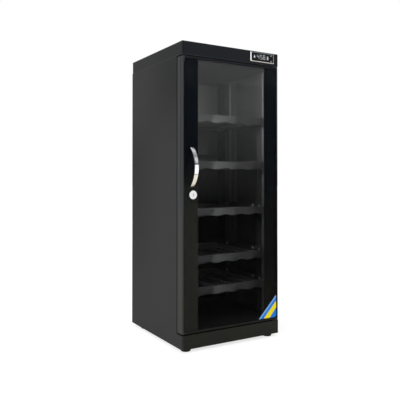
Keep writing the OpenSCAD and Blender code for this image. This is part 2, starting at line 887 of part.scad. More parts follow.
// Round socket for the mains adapter's plug
module power_inlet() {
    color([0.05, 0.05, 0.05]) in_body() translate([inlet_x, body_d, inlet_z]) {
        difference() {
            union() {
                translate([0, -inlet_depth, 0]) rod_y(inlet_r, inlet_depth + inlet_flange_t / 2);
                rod_y(inlet_flange_r, inlet_flange_t);
                translate([0, -sheet_t - inlet_nut_t, 0]) rod_y(inlet_nut_r, inlet_nut_t, $fn = 6);
            }
            translate([0, inlet_flange_t - inlet_bore_depth, 0]) rod_y(inlet_bore_r, inlet_bore_depth + over);
        }
        translate([0, -inlet_bore_depth, 0]) rod_y(inlet_pin_r, inlet_bore_depth);
    }
}

// Vented box under the ceiling that measures the air in the chamber
module humidity_sensor() {
    color([0.85, 0.85, 0.82]) in_body() translate([sensor_x, sensor_y, ceiling_z - sensor_h]) difference() {
        cube([sensor_w, sensor_d, sensor_h]);
        for (i = [1:4]) translate([i * sensor_w / 5 - sheet_t / 2, -over, sensor_h / 4])
            cube([sheet_t, sheet_t + over, sensor_h / 2]);
    }
}

// Screws of the back panel and the header cap
module case_screws() {
    color("silver") in_body() {
        at_side_screws() translate([0, body_d, 0]) pan_screw(screw_head_r, screw_head_h, screw_r, screw_bite);
        at_cap_screws() translate([0, body_d, 0]) pan_screw(screw_head_r, screw_head_h, screw_r, screw_bite);
    }
}

// Chrome frame round the display, with a tube behind it that holds the board
module display_bezel() {
    color("silver") in_body() difference() {
        union() {
            translate([bezel_x, 0, bezel_z]) rotate([90, 0, 0])
                cap_shape(bezel_w, bezel_h, bezel_reach, bezel_corner_r, bezel_front_r);
            translate([lens_x + (lens_w - module_w) / 2 + seat_gap, -over,
                lens_z + (lens_h - module_h) / 2 + seat_gap])
                cube([module_w - 2 * seat_gap, module_depth + over, module_h - 2 * seat_gap]);
        }
        translate([lens_x, lens_y - 2 * bezel_reach, lens_z])
            along_y(2 * bezel_reach + lens_t) round_rect(lens_w, lens_h, lens_corner_r);
        translate([lens_x + (lens_w - module_w) / 2 + module_wall, lens_y,
            lens_z + (lens_h - module_h) / 2 + module_wall])
            cube([module_w - 2 * module_wall, module_depth - lens_y + over, module_h - 2 * module_wall]);
    }
}

// Rounded outline of one button, grown by a gap
module button_outline(w, h, gap) {
    translate([-w / 2 - gap, -h / 2 - gap]) round_rect(w + 2 * gap, h + 2 * gap, button_r + gap);
}

module at_small_button(side) {
    translate([small_button_x, 0, button_mid_z + side * small_pitch / 2]) children();
}

// Dark face plate with three openings for the buttons
module display_lens() {
    color([0.02, 0.02, 0.03]) in_body() difference() {
        translate([lens_x + seat_gap, lens_y, lens_z + seat_gap]) along_y(lens_t)
            round_rect(lens_w - 2 * seat_gap, lens_h - 2 * seat_gap, lens_corner_r);
        translate([set_button_x, lens_y - over, button_mid_z]) along_y(lens_t + 2 * over)
            button_outline(set_button_w, set_button_h, button_gap);
        for (side = [-1, 1]) at_small_button(side) translate([0, lens_y - over, 0])
            along_y(lens_t + 2 * over) button_outline(small_button, small_button, button_gap);
    }
}

// Button with a flange behind the face plate and a stem to its switch
module button(w, h) {
    translate([0, button_y, 0]) along_y(lens_t + button_proud + over) button_outline(w, h, 0);
    translate([0, lens_y + lens_t + flange_gap, 0]) along_y(button_flange_t)
        button_outline(w, h, button_flange);
    translate([0, button_y + lens_t, 0]) rod_y(button_r - flange_gap, button_len - lens_t);
}

module set_button() {
    color([0.75, 0.76, 0.78]) in_body() translate([set_button_x, 0, button_mid_z])
        button(set_button_w, set_button_h);
}

module up_button() {
    color([0.75, 0.76, 0.78]) in_body() at_small_button(1) button(small_button, small_button);
}

module down_button() {
    color([0.75, 0.76, 0.78]) in_body() at_small_button(-1) button(small_button, small_button);
}

// Board behind the face plate with a switch behind each button
module display_board() {
    inner_h = module_h - 2 * module_wall;
    inner_w2 = module_w - 2 * module_wall;
    color([0.1, 0.35, 0.2]) in_body() {
        translate([lens_x + (lens_w - inner_w2) / 2, switch_y + switch_t, lens_z + (lens_h - inner_h) / 2])
            cube([inner_w2, board_t, inner_h]);
        translate([set_button_x, switch_y, button_mid_z]) rod_y(button_r, switch_t + board_t / 2);
        for (side = [-1, 1]) at_small_button(side) translate([0, switch_y, 0])
            rod_y(button_r, switch_t + board_t / 2);
    }
}

// Plates over and under the door that carry its pins
module hinge_brackets() {
    module plate() {
        difference() {
            translate([body_w - door_side_gap - bracket_w, bracket_y, 0])
                cube([bracket_w, bracket_d, bracket_t]);
            translate([pivot_x, pivot_y, -over]) cylinder(r = pin_r + seat_gap, h = bracket_t + 2 * over);
        }
    }
    color("dimgray") in_body() {
        translate([0, 0, cap_z - bracket_t]) plate();
        translate([0, 0, plinth_h]) plate();
    }
}

// Lower pin with the collar that the door stands on, and upper pin with a head in the cap
module hinge_pins() {
    color("silver") in_body() translate([pivot_x, pivot_y, 0]) {
        translate([0, 0, plinth_h - sheet_t]) cylinder(r = pin_r, h = door_z - plinth_h + sheet_t + pin_grip);
        translate([0, 0, plinth_h + bracket_t])
            cylinder(r = bush_r - slide_gap, h = door_z - plinth_h - bracket_t - collar_gap);
        translate([0, 0, door_z + door_h - pin_grip])
            cylinder(r = pin_r, h = pin_grip + door_top_gap + sheet_t + over);
        translate([0, 0, cap_z + sheet_t]) cylinder(r = bush_r, h = bracket_t);
    }
}

// Stiffening plate behind the left jamb that the lock's cam turns in behind
module strike_plate() {
    color("dimgray") in_body() translate([sheet_t + seat_gap, jamb_back_y, lock_z - strike_h / 2])
        along_y(strike_t) round_rect(strike_w, strike_h, bush_r / 2);
}

// Outline of the door seen from above, moved in by a wall and open to the back
module door_plan(wall) {
    translate([door_side_gap + wall, wall]) {
        translate([0, door_edge_r - wall]) square([door_w - 2 * wall, door_t - door_edge_r + wall]);
        translate([door_edge_r - wall, 0]) square([door_w - 2 * door_edge_r, door_t - wall]);
        for (x = [door_edge_r - wall, door_w - door_edge_r - wall])
            translate([x, door_edge_r - wall]) circle(door_edge_r - wall);
    }
}

// Steel pan round the edge of the door with a lip in front of the glass
module door_skin() {
    color([0.12, 0.12, 0.12]) in_body() difference() {
        translate([0, 0, door_z]) linear_extrude(door_h) intersection() {
            door_plan(0);
            square([body_w, door_t]);
        }
        translate([0, 0, door_z + door_sheet]) linear_extrude(door_h - 2 * door_sheet)
            door_plan(door_sheet);
        translate([door_side_gap + lip_w, -over, window_z])
            cube([door_w - 2 * lip_w, door_sheet + 2 * over, window_h]);
        for (z = [door_z - over, door_z + door_h - door_sheet - over])
            translate([pivot_x, pivot_y, z]) cylinder(r = bush_r + seat_gap, h = door_sheet + 2 * over);
    }
}

// Hollow ring behind the glass, wider on the lock side, with a flange that carries the glass
module door_inner_frame() {
    ring_x = door_side_gap + door_sheet;
    ring_w = door_w - 2 * door_sheet;
    ring_z = door_z + door_sheet;
    ring_h = door_h - 2 * door_sheet;
    open_w = ring_x + ring_w - hinge_stile_w - window_x;
    module hollow(side, end, y0, y1) {
        difference() {
            translate([ring_x + frame_wall, y0, ring_z + frame_wall])
                cube([ring_w - 2 * frame_wall, y1 - y0, ring_h - 2 * frame_wall]);
            translate([window_x - side, y0 - over, window_z - end])
                cube([open_w + 2 * side, y1 - y0 + 2 * over, window_h + 2 * end]);
        }
    }
    color([0.24, 0.24, 0.25]) in_body() difference() {
        union() {
            difference() {
                translate([ring_x, frame_y, ring_z]) cube([ring_w, door_t - frame_y, ring_h]);
                translate([window_x, frame_y - over, window_z])
                    cube([open_w, door_t - frame_y + 2 * over, window_h]);
                hollow(frame_wall, frame_wall, frame_y + frame_wall, door_t - frame_wall);
                hollow(frame_flange_w, frame_wall, frame_y - over, door_t - frame_wall);
            }
            for (z = [ring_z, ring_z + ring_h - block_h])
                translate([ring_x + ring_w - block_w, frame_y, z]) cube([block_w, block_d, block_h]);
        }
        for (z = [door_z - over, door_z + door_h - bush_h])
            translate([pivot_x, pivot_y, z]) cylinder(r = bush_r + seat_gap, h = bush_h + over);
        at_handle_screws() translate([0, door_t - frame_wall - over, 0])
            rod_y(handle_screw_r + seat_gap, frame_wall + 2 * over);
        translate([handle_x, door_t - frame_wall - over, lock_z])
            rod_y(lock_barrel_r + seat_gap, frame_wall + 2 * over);
        translate([handle_x, frame_y, lock_z]) rod_y(lock_barrel_r + seat_gap, frame_wall + over);
    }
}

module at_handle_screws() {
    for (side = [-1, 1])
        translate([handle_x, 0, handle_z + side * (bow_half - handle_bore_inset)]) children();
}

// Toughened glass with holes for the handle and the lock
module door_glass() {
    color([0.5, 0.55, 0.58, 0.35]) in_body() difference() {
        translate([door_side_gap + glass_side, glass_y, door_z + glass_end])
            cube([door_w - 2 * glass_side, glass_t, door_h - 2 * glass_end]);
        at_handle_screws() translate([0, glass_y - over, 0])
            rod_y(handle_screw_r + slide_gap, glass_t + 2 * over);
        translate([handle_x, glass_y - over, lock_z]) rod_y(lock_barrel_r + slide_gap, glass_t + 2 * over);
    }
}

// Black border fired on the back of the glass
module glass_border() {
    color([0.03, 0.03, 0.04]) in_body() difference() {
        translate([door_side_gap + glass_side, print_y, door_z + glass_end])
            cube([door_w - 2 * glass_side, print_t, door_h - 2 * glass_end]);
        translate([window_x, print_y - over, window_z])
            cube([window_w, print_t + 2 * over, window_h]);
        at_handle_screws() translate([0, print_y - over, 0])
            rod_y(handle_screw_r + slide_gap, print_t + 2 * over);
        translate([handle_x, print_y - over, lock_z]) rod_y(lock_barrel_r + slide_gap, print_t + 2 * over);
    }
}

// Flat magnetic seal round the back of the door
module door_gasket() {
    x = door_side_gap + gasket_side;
    z = door_z + gasket_end;
    w = door_w - 2 * gasket_side;
    h = door_h - 2 * gasket_end;
    color([0.1, 0.1, 0.1]) in_body() translate([x, door_t, z]) difference() {
        cube([w, gasket_t, h]);
        translate([gasket_w, -over, gasket_w]) cube([w - 2 * gasket_w, gasket_t + 2 * over, h - 2 * gasket_w]);
    }
}

// Bow handle: an arched strip, wider at the middle, with solid feet
module door_handle() {
    color([0.85, 0.85, 0.86]) in_body() translate([handle_x, 0, handle_z]) difference() {
        intersection() {
            translate([-handle_mid_w, 0, 0]) along_x(2 * handle_mid_w) difference() {
                translate([bow_y, 0]) circle(bow_r, $fn = fine);
                difference() {
                    translate([bow_y, 0]) circle(bow_r - handle_t, $fn = fine);
                    for (side = [-1, 1]) translate([-bow_rise, side * (bow_half - handle_foot / 2) - handle_foot / 2])
                        square([2 * bow_rise, handle_foot]);
                }
                translate([glass_y, -bow_r]) square([2 * bow_r, 2 * bow_r]);
            }
            translate([0, -2 * bow_rise, 0]) along_y(4 * bow_rise) intersection() {
                translate([handle_mid_w / 2 - side_r, 0]) circle(side_r, $fn = fine);
                translate([side_r - handle_mid_w / 2, 0]) circle(side_r, $fn = fine);
                square([2 * handle_mid_w, 2 * handle_len], center = true);
            }
        }
        for (side = [-1, 1]) translate([0, glass_y - handle_bore_depth, side * (bow_half - handle_bore_inset)])
            rod_y(handle_screw_r + seat_gap, handle_bore_depth + over);
    }
}

// Screws from the back of the door into the handle's feet
module handle_screws() {
    len = door_t - glass_y + handle_bore_depth - seat_gap;
    color("silver") in_body() at_handle_screws() translate([0, door_t, 0])
        pan_screw(handle_head_r, handle_head_h, handle_screw_r, len);
}

module hinge_bushes() {
    color([0.8, 0.8, 0.78]) in_body() for (z = [door_z, door_z + door_h - bush_h])
        translate([pivot_x, pivot_y, z]) difference() {
            cylinder(r = bush_r, h = bush_h);
            translate([0, 0, -over]) cylinder(r = pin_r + run_gap, h = bush_h + 2 * over);
        }
}

// Lock body: round face on the glass and a barrel through the door
module lock_housing() {
    face_y = glass_y - lock_face_t;
    color([0.88, 0.88, 0.88]) in_body() translate([handle_x, 0, lock_z]) difference() {
        union() {
            translate([0, glass_y, 0]) rotate([90, 0, 0]) rotate_extrude() {
                square([lock_face_r, lock_face_t - lock_face_edge]);
                square([lock_face_r - lock_face_edge, lock_face_t]);
                intersection() {
                    translate([lock_face_r - lock_face_edge, lock_face_t - lock_face_edge])
                        circle(lock_face_edge);
                    square([lock_face_r, lock_face_t]);
                }
            }
            translate([0, glass_y - over, 0]) rod_y(lock_barrel_r, cam_y - glass_y + over - collar_gap);
        }
        translate([0, face_y - over, 0]) rod_y(lock_plug_r + run_gap, cam_y - face_y + 2 * over);
    }
}

module lock_nut() {
    color("silver") in_body() translate([handle_x, door_t, lock_z]) difference() {
        rod_y(lock_nut_r, lock_nut_t, $fn = 6);
        translate([0, -over, 0]) rod_y(lock_barrel_r + seat_gap, lock_nut_t + 2 * over);
    }
}

// Part of the lock that the key turns
module lock_cylinder() {
    front = glass_y - lock_face_t - plug_proud;
    color([0.8, 0.8, 0.8]) in_body() translate([handle_x, 0, lock_z]) difference() {
        translate([0, front, 0]) rod_y(lock_plug_r, cam_y - front);
        translate([-key_w / 2, front - over, -key_h / 2]) cube([key_w, key_depth + over, key_h]);
        translate([0, cam_y - cam_screw_len - over, 0]) rod_y(cam_screw_r + seat_gap, cam_screw_len + 2 * over);
    }
}

// Tongue behind the door, hanging down while the lock is open
module lock_cam() {
    color("dimgray") in_body() translate([handle_x, cam_y, lock_z]) difference() {
        along_y(cam_t) {
            circle(cam_hub_r);
            translate([-cam_tip_r, -cam_len]) square([2 * cam_tip_r, cam_len]);
            translate([0, -cam_len]) circle(cam_tip_r);
        }
        translate([0, -over, 0]) rod_y(cam_screw_r + seat_gap, cam_t + 2 * over);
    }
}

module cam_screw() {
    color("silver") in_body() translate([handle_x, cam_y + cam_t, lock_z])
        pan_screw(cam_head_r, cam_head_h, cam_screw_r, cam_screw_len + cam_t);
}

// Slotted tray with low sides and a higher wall at the front and the back
module shelf_tray(i) {
    depth = tray_rear_y - tray_y;
    wall_h = tray_drop - upstand_drop;
    front_wall_h = tray_drop - lip_t;
    slots = floor((tray_w - 2 * slot_margin - slot_w) / slot_pitch) + 1;
    slot_len = depth - 2 * slot_end;
    color([0.3, 0.3, 0.3]) in_body() translate([tray_x, tray_y, shelf_z(i) - tray_drop - tray_t])
        difference() {
            union() {
                cube([tray_w, depth, tray_t]);
                cube([tray_w, tray_t, tray_t + front_wall_h]);
                translate([0, depth - tray_t, 0]) cube([tray_w, tray_t, tray_t + wall_h]);
                for (x = [0, tray_w - tray_t]) translate([x, 0, 0])
                    cube([tray_t, depth, tray_t + tray_side_h]);
            }
            for (k = [0:slots - 1])
                translate([tray_w / 2 + (k - (slots - 1) / 2) * slot_pitch - slot_w / 2, slot_end, -over])
                    linear_extrude(tray_t + 2 * over)
                        round_rect(slot_w, slot_len, slot_w / 2 - seat_gap);
        }
}

// Moulded front: wavy lower edge, lip over the tray, and a pull that swells out at the middle
module shelf_front(i) {
    half = front_w / 2;
    edge_count = wave_steps * ceil(front_w / wave_len);
    edge = [for (k = [0:edge_count]) let (x = -half + front_w * k / edge_count) [x, wave_z(x)]];
    module outline() {
        polygon(concat(edge, [[half, 0], [-half, 0]]));
    }
    module pull_sides() {
        polygon([[-pull_bottom_w / 2, -front_h - wave_rise], [pull_bottom_w / 2, -front_h - wave_rise],
            [pull_top_w / 2, 0], [-pull_top_w / 2, 0]]);
    }
    module pull_plan() {
        polygon([[-pull_bottom_w / 2, 0], [-pull_bottom_w / 2 + pull_bevel_w, -pull_reach],
            [pull_bottom_w / 2 - pull_bevel_w, -pull_reach], [pull_bottom_w / 2, 0],
            [pull_bottom_w / 2, front_t], [-pull_bottom_w / 2, front_t]]);
    }
    module pull_section() {
        h = front_h + wave_rise;
        polygon([[front_t, -h], [-pull_reach + pull_nose_r, -h], [-pull_reach, -h + pull_nose_r],
            [-pull_reach, -h + 2 * pull_nose_r], [-pull_foot_reach, 0], [front_t, 0]]);
    }
    color([0.27, 0.27, 0.27]) in_body() translate([body_w / 2, front_y0, shelf_z(i)]) {
        along_y(front_t) outline();
        translate([-half, 0, -lip_t]) cube([front_w, lip_depth, lip_t]);
        intersection() {
            translate([0, -pull_reach, 0]) along_y(pull_reach + front_t) intersection() {
                outline();
                pull_sides();
            }
            translate([0, 0, -front_h - wave_rise]) linear_extrude(front_h + wave_rise) pull_plan();
            translate([-pull_bottom_w / 2, 0, 0]) along_x(pull_bottom_w) pull_section();
        }
    }
}

module shelf_tray_1() {
    shelf_tray(0);
}

module shelf_tray_2() {
    shelf_tray(1);
}

module shelf_tray_3() {
    shelf_tray(2);
}

module shelf_tray_4() {
    shelf_tray(3);
}

module shelf_tray_5() {
    shelf_tray(4);
}

module shelf_front_1() {
    shelf_front(0);
}

module shelf_front_2() {
    shelf_front(1);
}

module shelf_front_3() {
    shelf_front(2);
}

module shelf_front_4() {
    shelf_front(3);
}

module shelf_front_5() {
    shelf_front(4);
}

left_side_panel();
right_side_panel();
back_panel();
top_cap();
inner_ceiling();
floor_pan();
base_pan();
front_left_post();
front_right_post();
rear_left_post();
rear_right_post();
left_runners();
right_runners();
runner_screws();
runner_studs();
foot_pads();
foot_bolts();
dryer_housing();
dryer_cover();
desiccant_packs();
dryer_heater();
inner_shutter();
outer_shutter();
exhaust_grille();
control_board();
power_inlet();
humidity_sensor();
case_screws();
display_bezel();
display_lens();
display_board();
set_button();
up_button();
down_button();
hinge_brackets();
hinge_pins();
strike_plate();
door_skin();
door_inner_frame();
door_glass();
glass_border();
door_gasket();
door_handle();
handle_screws();
hinge_bushes();
lock_housing();
lock_nut();
lock_cylinder();
lock_cam();
cam_screw();
shelf_tray_1();
shelf_tray_2();
shelf_tray_3();
shelf_tray_4();
shelf_tray_5();
shelf_front_1();
shelf_front_2();
shelf_front_3();
shelf_front_4();
shelf_front_5();
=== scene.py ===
import json
import math
import bmesh
import bpy
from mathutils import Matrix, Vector

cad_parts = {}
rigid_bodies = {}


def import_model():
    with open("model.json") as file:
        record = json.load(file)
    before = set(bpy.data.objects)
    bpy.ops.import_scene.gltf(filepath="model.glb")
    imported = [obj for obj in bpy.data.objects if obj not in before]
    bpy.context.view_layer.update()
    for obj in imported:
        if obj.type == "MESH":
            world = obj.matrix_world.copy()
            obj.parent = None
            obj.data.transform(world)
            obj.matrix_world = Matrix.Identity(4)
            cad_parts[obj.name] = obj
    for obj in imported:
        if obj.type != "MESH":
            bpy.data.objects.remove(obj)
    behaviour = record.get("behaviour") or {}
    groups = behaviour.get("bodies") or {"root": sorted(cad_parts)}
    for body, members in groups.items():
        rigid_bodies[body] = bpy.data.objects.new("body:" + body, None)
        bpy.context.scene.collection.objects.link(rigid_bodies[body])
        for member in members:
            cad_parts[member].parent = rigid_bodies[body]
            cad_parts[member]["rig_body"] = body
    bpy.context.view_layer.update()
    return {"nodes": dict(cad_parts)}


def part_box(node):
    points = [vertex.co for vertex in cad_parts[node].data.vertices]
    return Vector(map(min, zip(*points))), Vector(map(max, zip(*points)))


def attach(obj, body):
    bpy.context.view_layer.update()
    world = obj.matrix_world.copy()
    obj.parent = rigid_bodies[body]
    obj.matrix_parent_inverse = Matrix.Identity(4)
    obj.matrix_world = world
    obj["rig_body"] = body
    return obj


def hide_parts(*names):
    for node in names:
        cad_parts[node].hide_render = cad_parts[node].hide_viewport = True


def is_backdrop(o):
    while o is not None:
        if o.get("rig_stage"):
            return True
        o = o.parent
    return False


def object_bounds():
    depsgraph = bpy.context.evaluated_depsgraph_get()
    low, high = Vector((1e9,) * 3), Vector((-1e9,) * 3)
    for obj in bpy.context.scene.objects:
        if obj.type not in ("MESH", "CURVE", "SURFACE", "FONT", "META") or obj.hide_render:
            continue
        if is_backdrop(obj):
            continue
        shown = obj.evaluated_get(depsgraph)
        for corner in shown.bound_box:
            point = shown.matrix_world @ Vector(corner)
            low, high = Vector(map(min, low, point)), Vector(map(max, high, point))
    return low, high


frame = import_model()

model = frame["nodes"]

# Studio: a camera at the height of the cabinet's middle, to its front left, and
# a pale floor that runs into a white background. Three large soft lamps light it
# like a product table, and a small one lights only what is inside the chamber.


class Wire:
    """A socket that takes part in sums: each sum adds a Math node."""

    def __init__(self, nodes, socket):
        self.nodes, self.socket = nodes, socket

    def sum(self, operation, *values):
        return self.nodes.add("Math", {"operation": operation}, dict(enumerate(values)))[0]

    def __add__(self, other):
        return self.sum("ADD", self, other)

    __radd__ = __add__

    def __sub__(self, other):
        return self.sum("SUBTRACT", self, other)

    def __rsub__(self, other):
        return self.sum("SUBTRACT", other, self)

    def __mul__(self, other):
        return self.sum("MULTIPLY", self, other)

    def __truediv__(self, other):
        return self.sum("DIVIDE", self, other)

    def __mod__(self, other):
        return self.sum("FLOORED_MODULO", self, other)

    def __lt__(self, other):
        return self.sum("LESS_THAN", self, other)

    def below(self, other):
        return self.sum("MINIMUM", self, other)

    def ramp(self, low, high):
        """0 at low and 1 at high, smooth in between."""
        return self.nodes.add("MapRange", {"interpolation_type": "SMOOTHSTEP"},
            {0: self, 1: low, 2: high})[0]

    def between(self, low, high, soft):
        """1 from low to high and 0 outside, with soft edges inside the two."""
        return self.ramp(low, low + soft) * (1 - self.ramp(high - soft, high))


class Placed:
    """A node whose outputs are picked by name or number."""

    def __init__(self, nodes, node):
        self.nodes, self.node = nodes, node

    def __getitem__(self, key):
        return Wire(self.nodes, self.node.outputs[key])


class Nodes:
    """A node tree, empty at first."""

    def __init__(self, tree, prefix="ShaderNode"):
        self.tree, self.prefix = tree, prefix
        tree.nodes.clear()

    def add(self, kind, settings=None, sockets=None):
        """A new node with its settings, and its sockets filled or linked."""
        names = (self.prefix + kind, "ShaderNode" + kind)
        node = self.tree.nodes.new(next(name for name in names if hasattr(bpy.types, name)))
        for name, value in (settings or {}).items():
            setattr(node, name, value)
        for key, value in (sockets or {}).items():
            if isinstance(value, Wire):
                self.tree.links.new(value.socket, node.inputs[key])
            else:
                node.inputs[key].default_value = value
        return Placed(self, node)


def spot(x, y, z):
    """A place measured in millimetres from the body's front left foot corner."""
    return Vector(((x - 197.5) / 1000, (y - 182.4) / 1000, (z + 12) / 1000))


scene = bpy.context.scene
scene.view_settings.view_transform = "Standard"
lens = bpy.data.cameras.new("photo_camera")
lens.sensor_width, lens.lens = 36, 47.95
lens.shift_x, lens.shift_y = -0.0008, -0.0709
camera = bpy.data.objects.new("photo_camera", lens)
camera.location = spot(-829.9, -1501.4, 553.1)
camera.rotation_euler = (math.radians(90.714), 0, math.radians(-30.881))
scene.collection.objects.link(camera)
scene.camera = camera

ambient = 0.35
world = bpy.data.worlds.new("studio")
world.use_nodes = True
scene.world = world
sky = Nodes(world.node_tree)


def seen_by_eye(path):
    """1 for rays that show the background: straight, mirrored or through glass."""
    return (path["Is Camera Ray"] + path["Is Glossy Ray"] + path["Is Transmission Ray"]).below(1)


background = sky.add("Background", None, {"Color": (1, 1, 1, 1), "Strength":
    ambient + seen_by_eye(sky.add("LightPath")) * (1 - ambient)})
sky.add("OutputWorld", None, {"Surface": background[0]})

floor_mesh = bpy.data.meshes.new("floor")
floor_mesh.from_pydata([(-30, -30, 0), (30, -30, 0), (30, 30, 0), (-30, 30, 0)], [], [(0, 1, 2, 3)])
floor = bpy.data.objects.new("floor", floor_mesh)
scene.collection.objects.link(floor)
paper = bpy.data.materials.new("floor_white")
paper.use_nodes = True
floor_mesh.materials.append(paper)
card = Nodes(paper.node_tree)
path = card.add("LightPath")
straight = path["Is Camera Ray"]
lit_floor, seen_floor = (0.8, 0.8, 0.8, 1), (0.45, 0.45, 0.45, 1)
tone = card.add("Mix", {"data_type": "RGBA"}, {0: straight, 6: lit_floor, 7: seen_floor})
matt = card.add("BsdfDiffuse", None, {"Color": tone[2]})
apart = card.add("SeparateXYZ", None, {0: card.add("TexCoord")["Object"]})
far = ((apart[0] * apart[0] + apart[1] * apart[1]) / 12).ramp(0.0, 1.0)
glow, near_lift = 0.5, 0.24
shine = card.add("Emission", None, {"Color": (1, 1, 1, 1), "Strength":
    seen_by_eye(path) * (glow + far * (1 - glow)) + straight * (1 - far) * near_lift})
card.add("OutputMaterial", None, {"Surface": card.add("AddShader", None, {0: matt[0], 1: shine[0]})[0]})
floor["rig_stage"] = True

for name, place, aim, size, power in (
        ("key_lamp", (-2.6, -1.2, 1.9), (0, 0, 0.45), 1.8, 60),
        ("fill_lamp", (1.6, -2.8, 2.2), (0, 0, 0.7), 1.6, 26),
        ("top_lamp", (0.0, 0.6, 3.2), (0, 0, 0.5), 1.8, 40),
        ("chamber_lamp", spot(-480, -260, 930), spot(230, 150, 700), 0.2, 12.0)):
    lamp = bpy.data.lights.new(name, "AREA")
    lamp.size, lamp.energy = size, power
    stand = bpy.data.objects.new(name, lamp)
    stand.location = place
    if name == "chamber_lamp":
        stand.visible_camera = stand.visible_glossy = False
        chamber, fittings = (bpy.data.collections.new(word) for word in ("chamber", "fittings"))
        stand.light_linking.receiver_collection = chamber
        stand.light_linking.blocker_collection = fittings
    stand.rotation_euler = (Vector(aim) - Vector(place)).to_track_quat("-Z", "Y").to_euler()
    scene.collection.objects.link(stand)

# Side panels and back: 1.2 mm sheet steel, folded along every edge, sprayed with
# a black textured powder coat that stands up in fine grains. The sides slide in
# under the header and the back is screwed to their flanges.


class Finish(Nodes):
    """A material: its plain values are set on the shader's own sockets."""

    def __init__(self, name, colour, roughness, metallic=0.0, gloss=0.22):
        self.material = bpy.data.materials.new(name)
        self.material.use_nodes = True
        super().__init__(self.material.node_tree)
        self.colour = (*colour, 1)
        self.shader = self.add("BsdfPrincipled", None, {"Base Color": self.colour,
            "Roughness": roughness, "Metallic": metallic, "Specular IOR Level": 0.5 if metallic else gloss})
        self.add("OutputMaterial", None, {"Surface": self.shader[0]})
        self.place = self.add("TexCoord")["Object"]
        self.height = None
        self.paint_layer = None

    def feed(self, key, wire):
        self.tree.links.new(wire.socket, self.shader.node.inputs[key])

    def axes(self):
        return [self.add("SeparateXYZ", None, {0: self.place})[i] for i in range(3)]

    def grain(self, scale, detail=3.0, stretch=(1, 1, 1)):
        """Noise of so many spots to the metre, drawn out along an axis by a small stretch."""
        drawn = self.add("Mapping", None, {"Vector": self.place, "Scale": stretch})
        return self.add("TexNoise", None, {"Vector": drawn[0], "Scale": scale, "Detail": detail})[0]

    def blend(self, mask, colour):
        """Paints a colour over what is there, where the mask is 1."""
        under = self.paint_layer if self.paint_layer else self.colour
        mixed = self.add("Mix", {"data_type": "RGBA"}, {0: mask, 6: under, 7: (*colour, 1)})
        self.paint_layer = mixed[2]
        self.feed("Base Color", self.paint_layer)
        return self

    def shade(self, mask, strength):
        """Lightens or darkens by a share of the colour."""
        return self.blend(mask, tuple(min(1, c * strength) for c in self.colour[:3]))

    def dull(self, mask, low, high):
        self.feed("Roughness", low + mask * (high - low))
        return self

    def bump(self, height, distance, strength):
        """Height from 0 to 1, so many metres high; layers add up."""
        sockets = {"Height": height, "Distance": distance, "Strength": strength}
        if self.height:
            sockets["Normal"] = self.height
        self.height = self.add("Bump", None, sockets)["Normal"]
        self.feed("Normal", self.height)
        return self

    def dress(self, *names):
        for name in names:
            for place in model[name].material_slots:
                place.material = self.material
        return self


def powder_coat(name, colour, roughness, scale, depth):
    """Sprayed paint with fine raised grains and faint clouds."""
    coat = Finish(name, colour, roughness, gloss=0.185)
    grains = coat.grain(scale, 2.0)
    clouds = coat.grain(9.0, 4.0)
    coat.shade(grains.ramp(0.45, 0.75), 1.7)
    coat.shade(clouds.ramp(0.4, 0.8) * 0.35, 1.5)
    coat.dull(grains, roughness - 0.08, roughness + 0.12)
    return coat.bump(grains, depth, 0.6)


side_coat = powder_coat("side_powder_coat", (0.0088, 0.0088, 0.0095), 0.62, 1100.0, 0.00025)
across, deep, height = side_coat.axes()
inner_face, jamb, back_sheet = 0.1969, 45, 396
lining = (across * across < inner_face ** 2) * (deep < spot(0, back_sheet, 0).y) \
    * deep.ramp(spot(0, jamb - 1, 0).y, spot(0, jamb + 1, 0).y)
outside, rear, upper = 1 - lining, deep.ramp(-0.12, 0.2), height.ramp(0.62, 0.9)
# Outside: painted shade at the rear below and at the front above, painted light at the front below, towards
# the bottom and at the rear above, and pale flecks.
side_coat.blend(outside * rear * (1 - upper), (0.0012, 0.0013, 0.002))
side_coat.blend(outside * (1 - rear) * upper, (0.0012, 0.0015, 0.0015))
side_coat.blend(outside * (1 - rear) * (1 - upper) * 0.6, (0.02, 0.02, 0.02))
side_coat.blend(outside * (1 - height.ramp(0.1, 0.45)) * 0.5, (0.0165, 0.0165, 0.0165))
side_coat.blend(outside * rear * upper * 0.6, (0.019, 0.0185, 0.019))
flecks = side_coat.grain(260.0, 2.0).ramp(0.42, 0.68) * 0.6
side_coat.blend(outside * flecks, (0.0125, 0.0125, 0.0135))
# Inside: painted light at the top and painted shade at the bottom, and painted shade on the right wall with
# painted light at its top.
side_coat.blend(lining * (1 - height.ramp(0.15, 0.7)), (0.003, 0.003, 0.003))
side_coat.blend(lining * height.ramp(0.42, 0.95), (0.25, 0.25, 0.25))
right_wall = lining * across.ramp(0.192, 0.195)
side_coat.blend(right_wall, (0.006, 0.006, 0.006))
side_coat.blend(right_wall * height.ramp(0.62, 0.9), (0.075, 0.075, 0.075))
side_coat.dress("left_side_panel", "right_side_panel", "back_panel")

# Header cap: one folded lid of the same steel with rounded corners and edges, in
# a smoother satin paint that has a blue cast. It drops over the sides and the
# back and is screwed to the back.


def satin_paint(name, colour, roughness=0.38, gloss=0.22):
    """Wet-sprayed paint with a fine orange peel and faint clouds of gloss."""
    paint = Finish(name, colour, roughness, gloss=gloss)
    peel = paint.grain(220.0, 2.0)
    clouds = paint.grain(6.0, 4.0)
    paint.shade(clouds.ramp(0.35, 0.75) * 0.5, 1.45)
    paint.dull(clouds, roughness - 0.06, roughness + 0.1)
    return paint.bump(peel, 0.00003, 0.35)


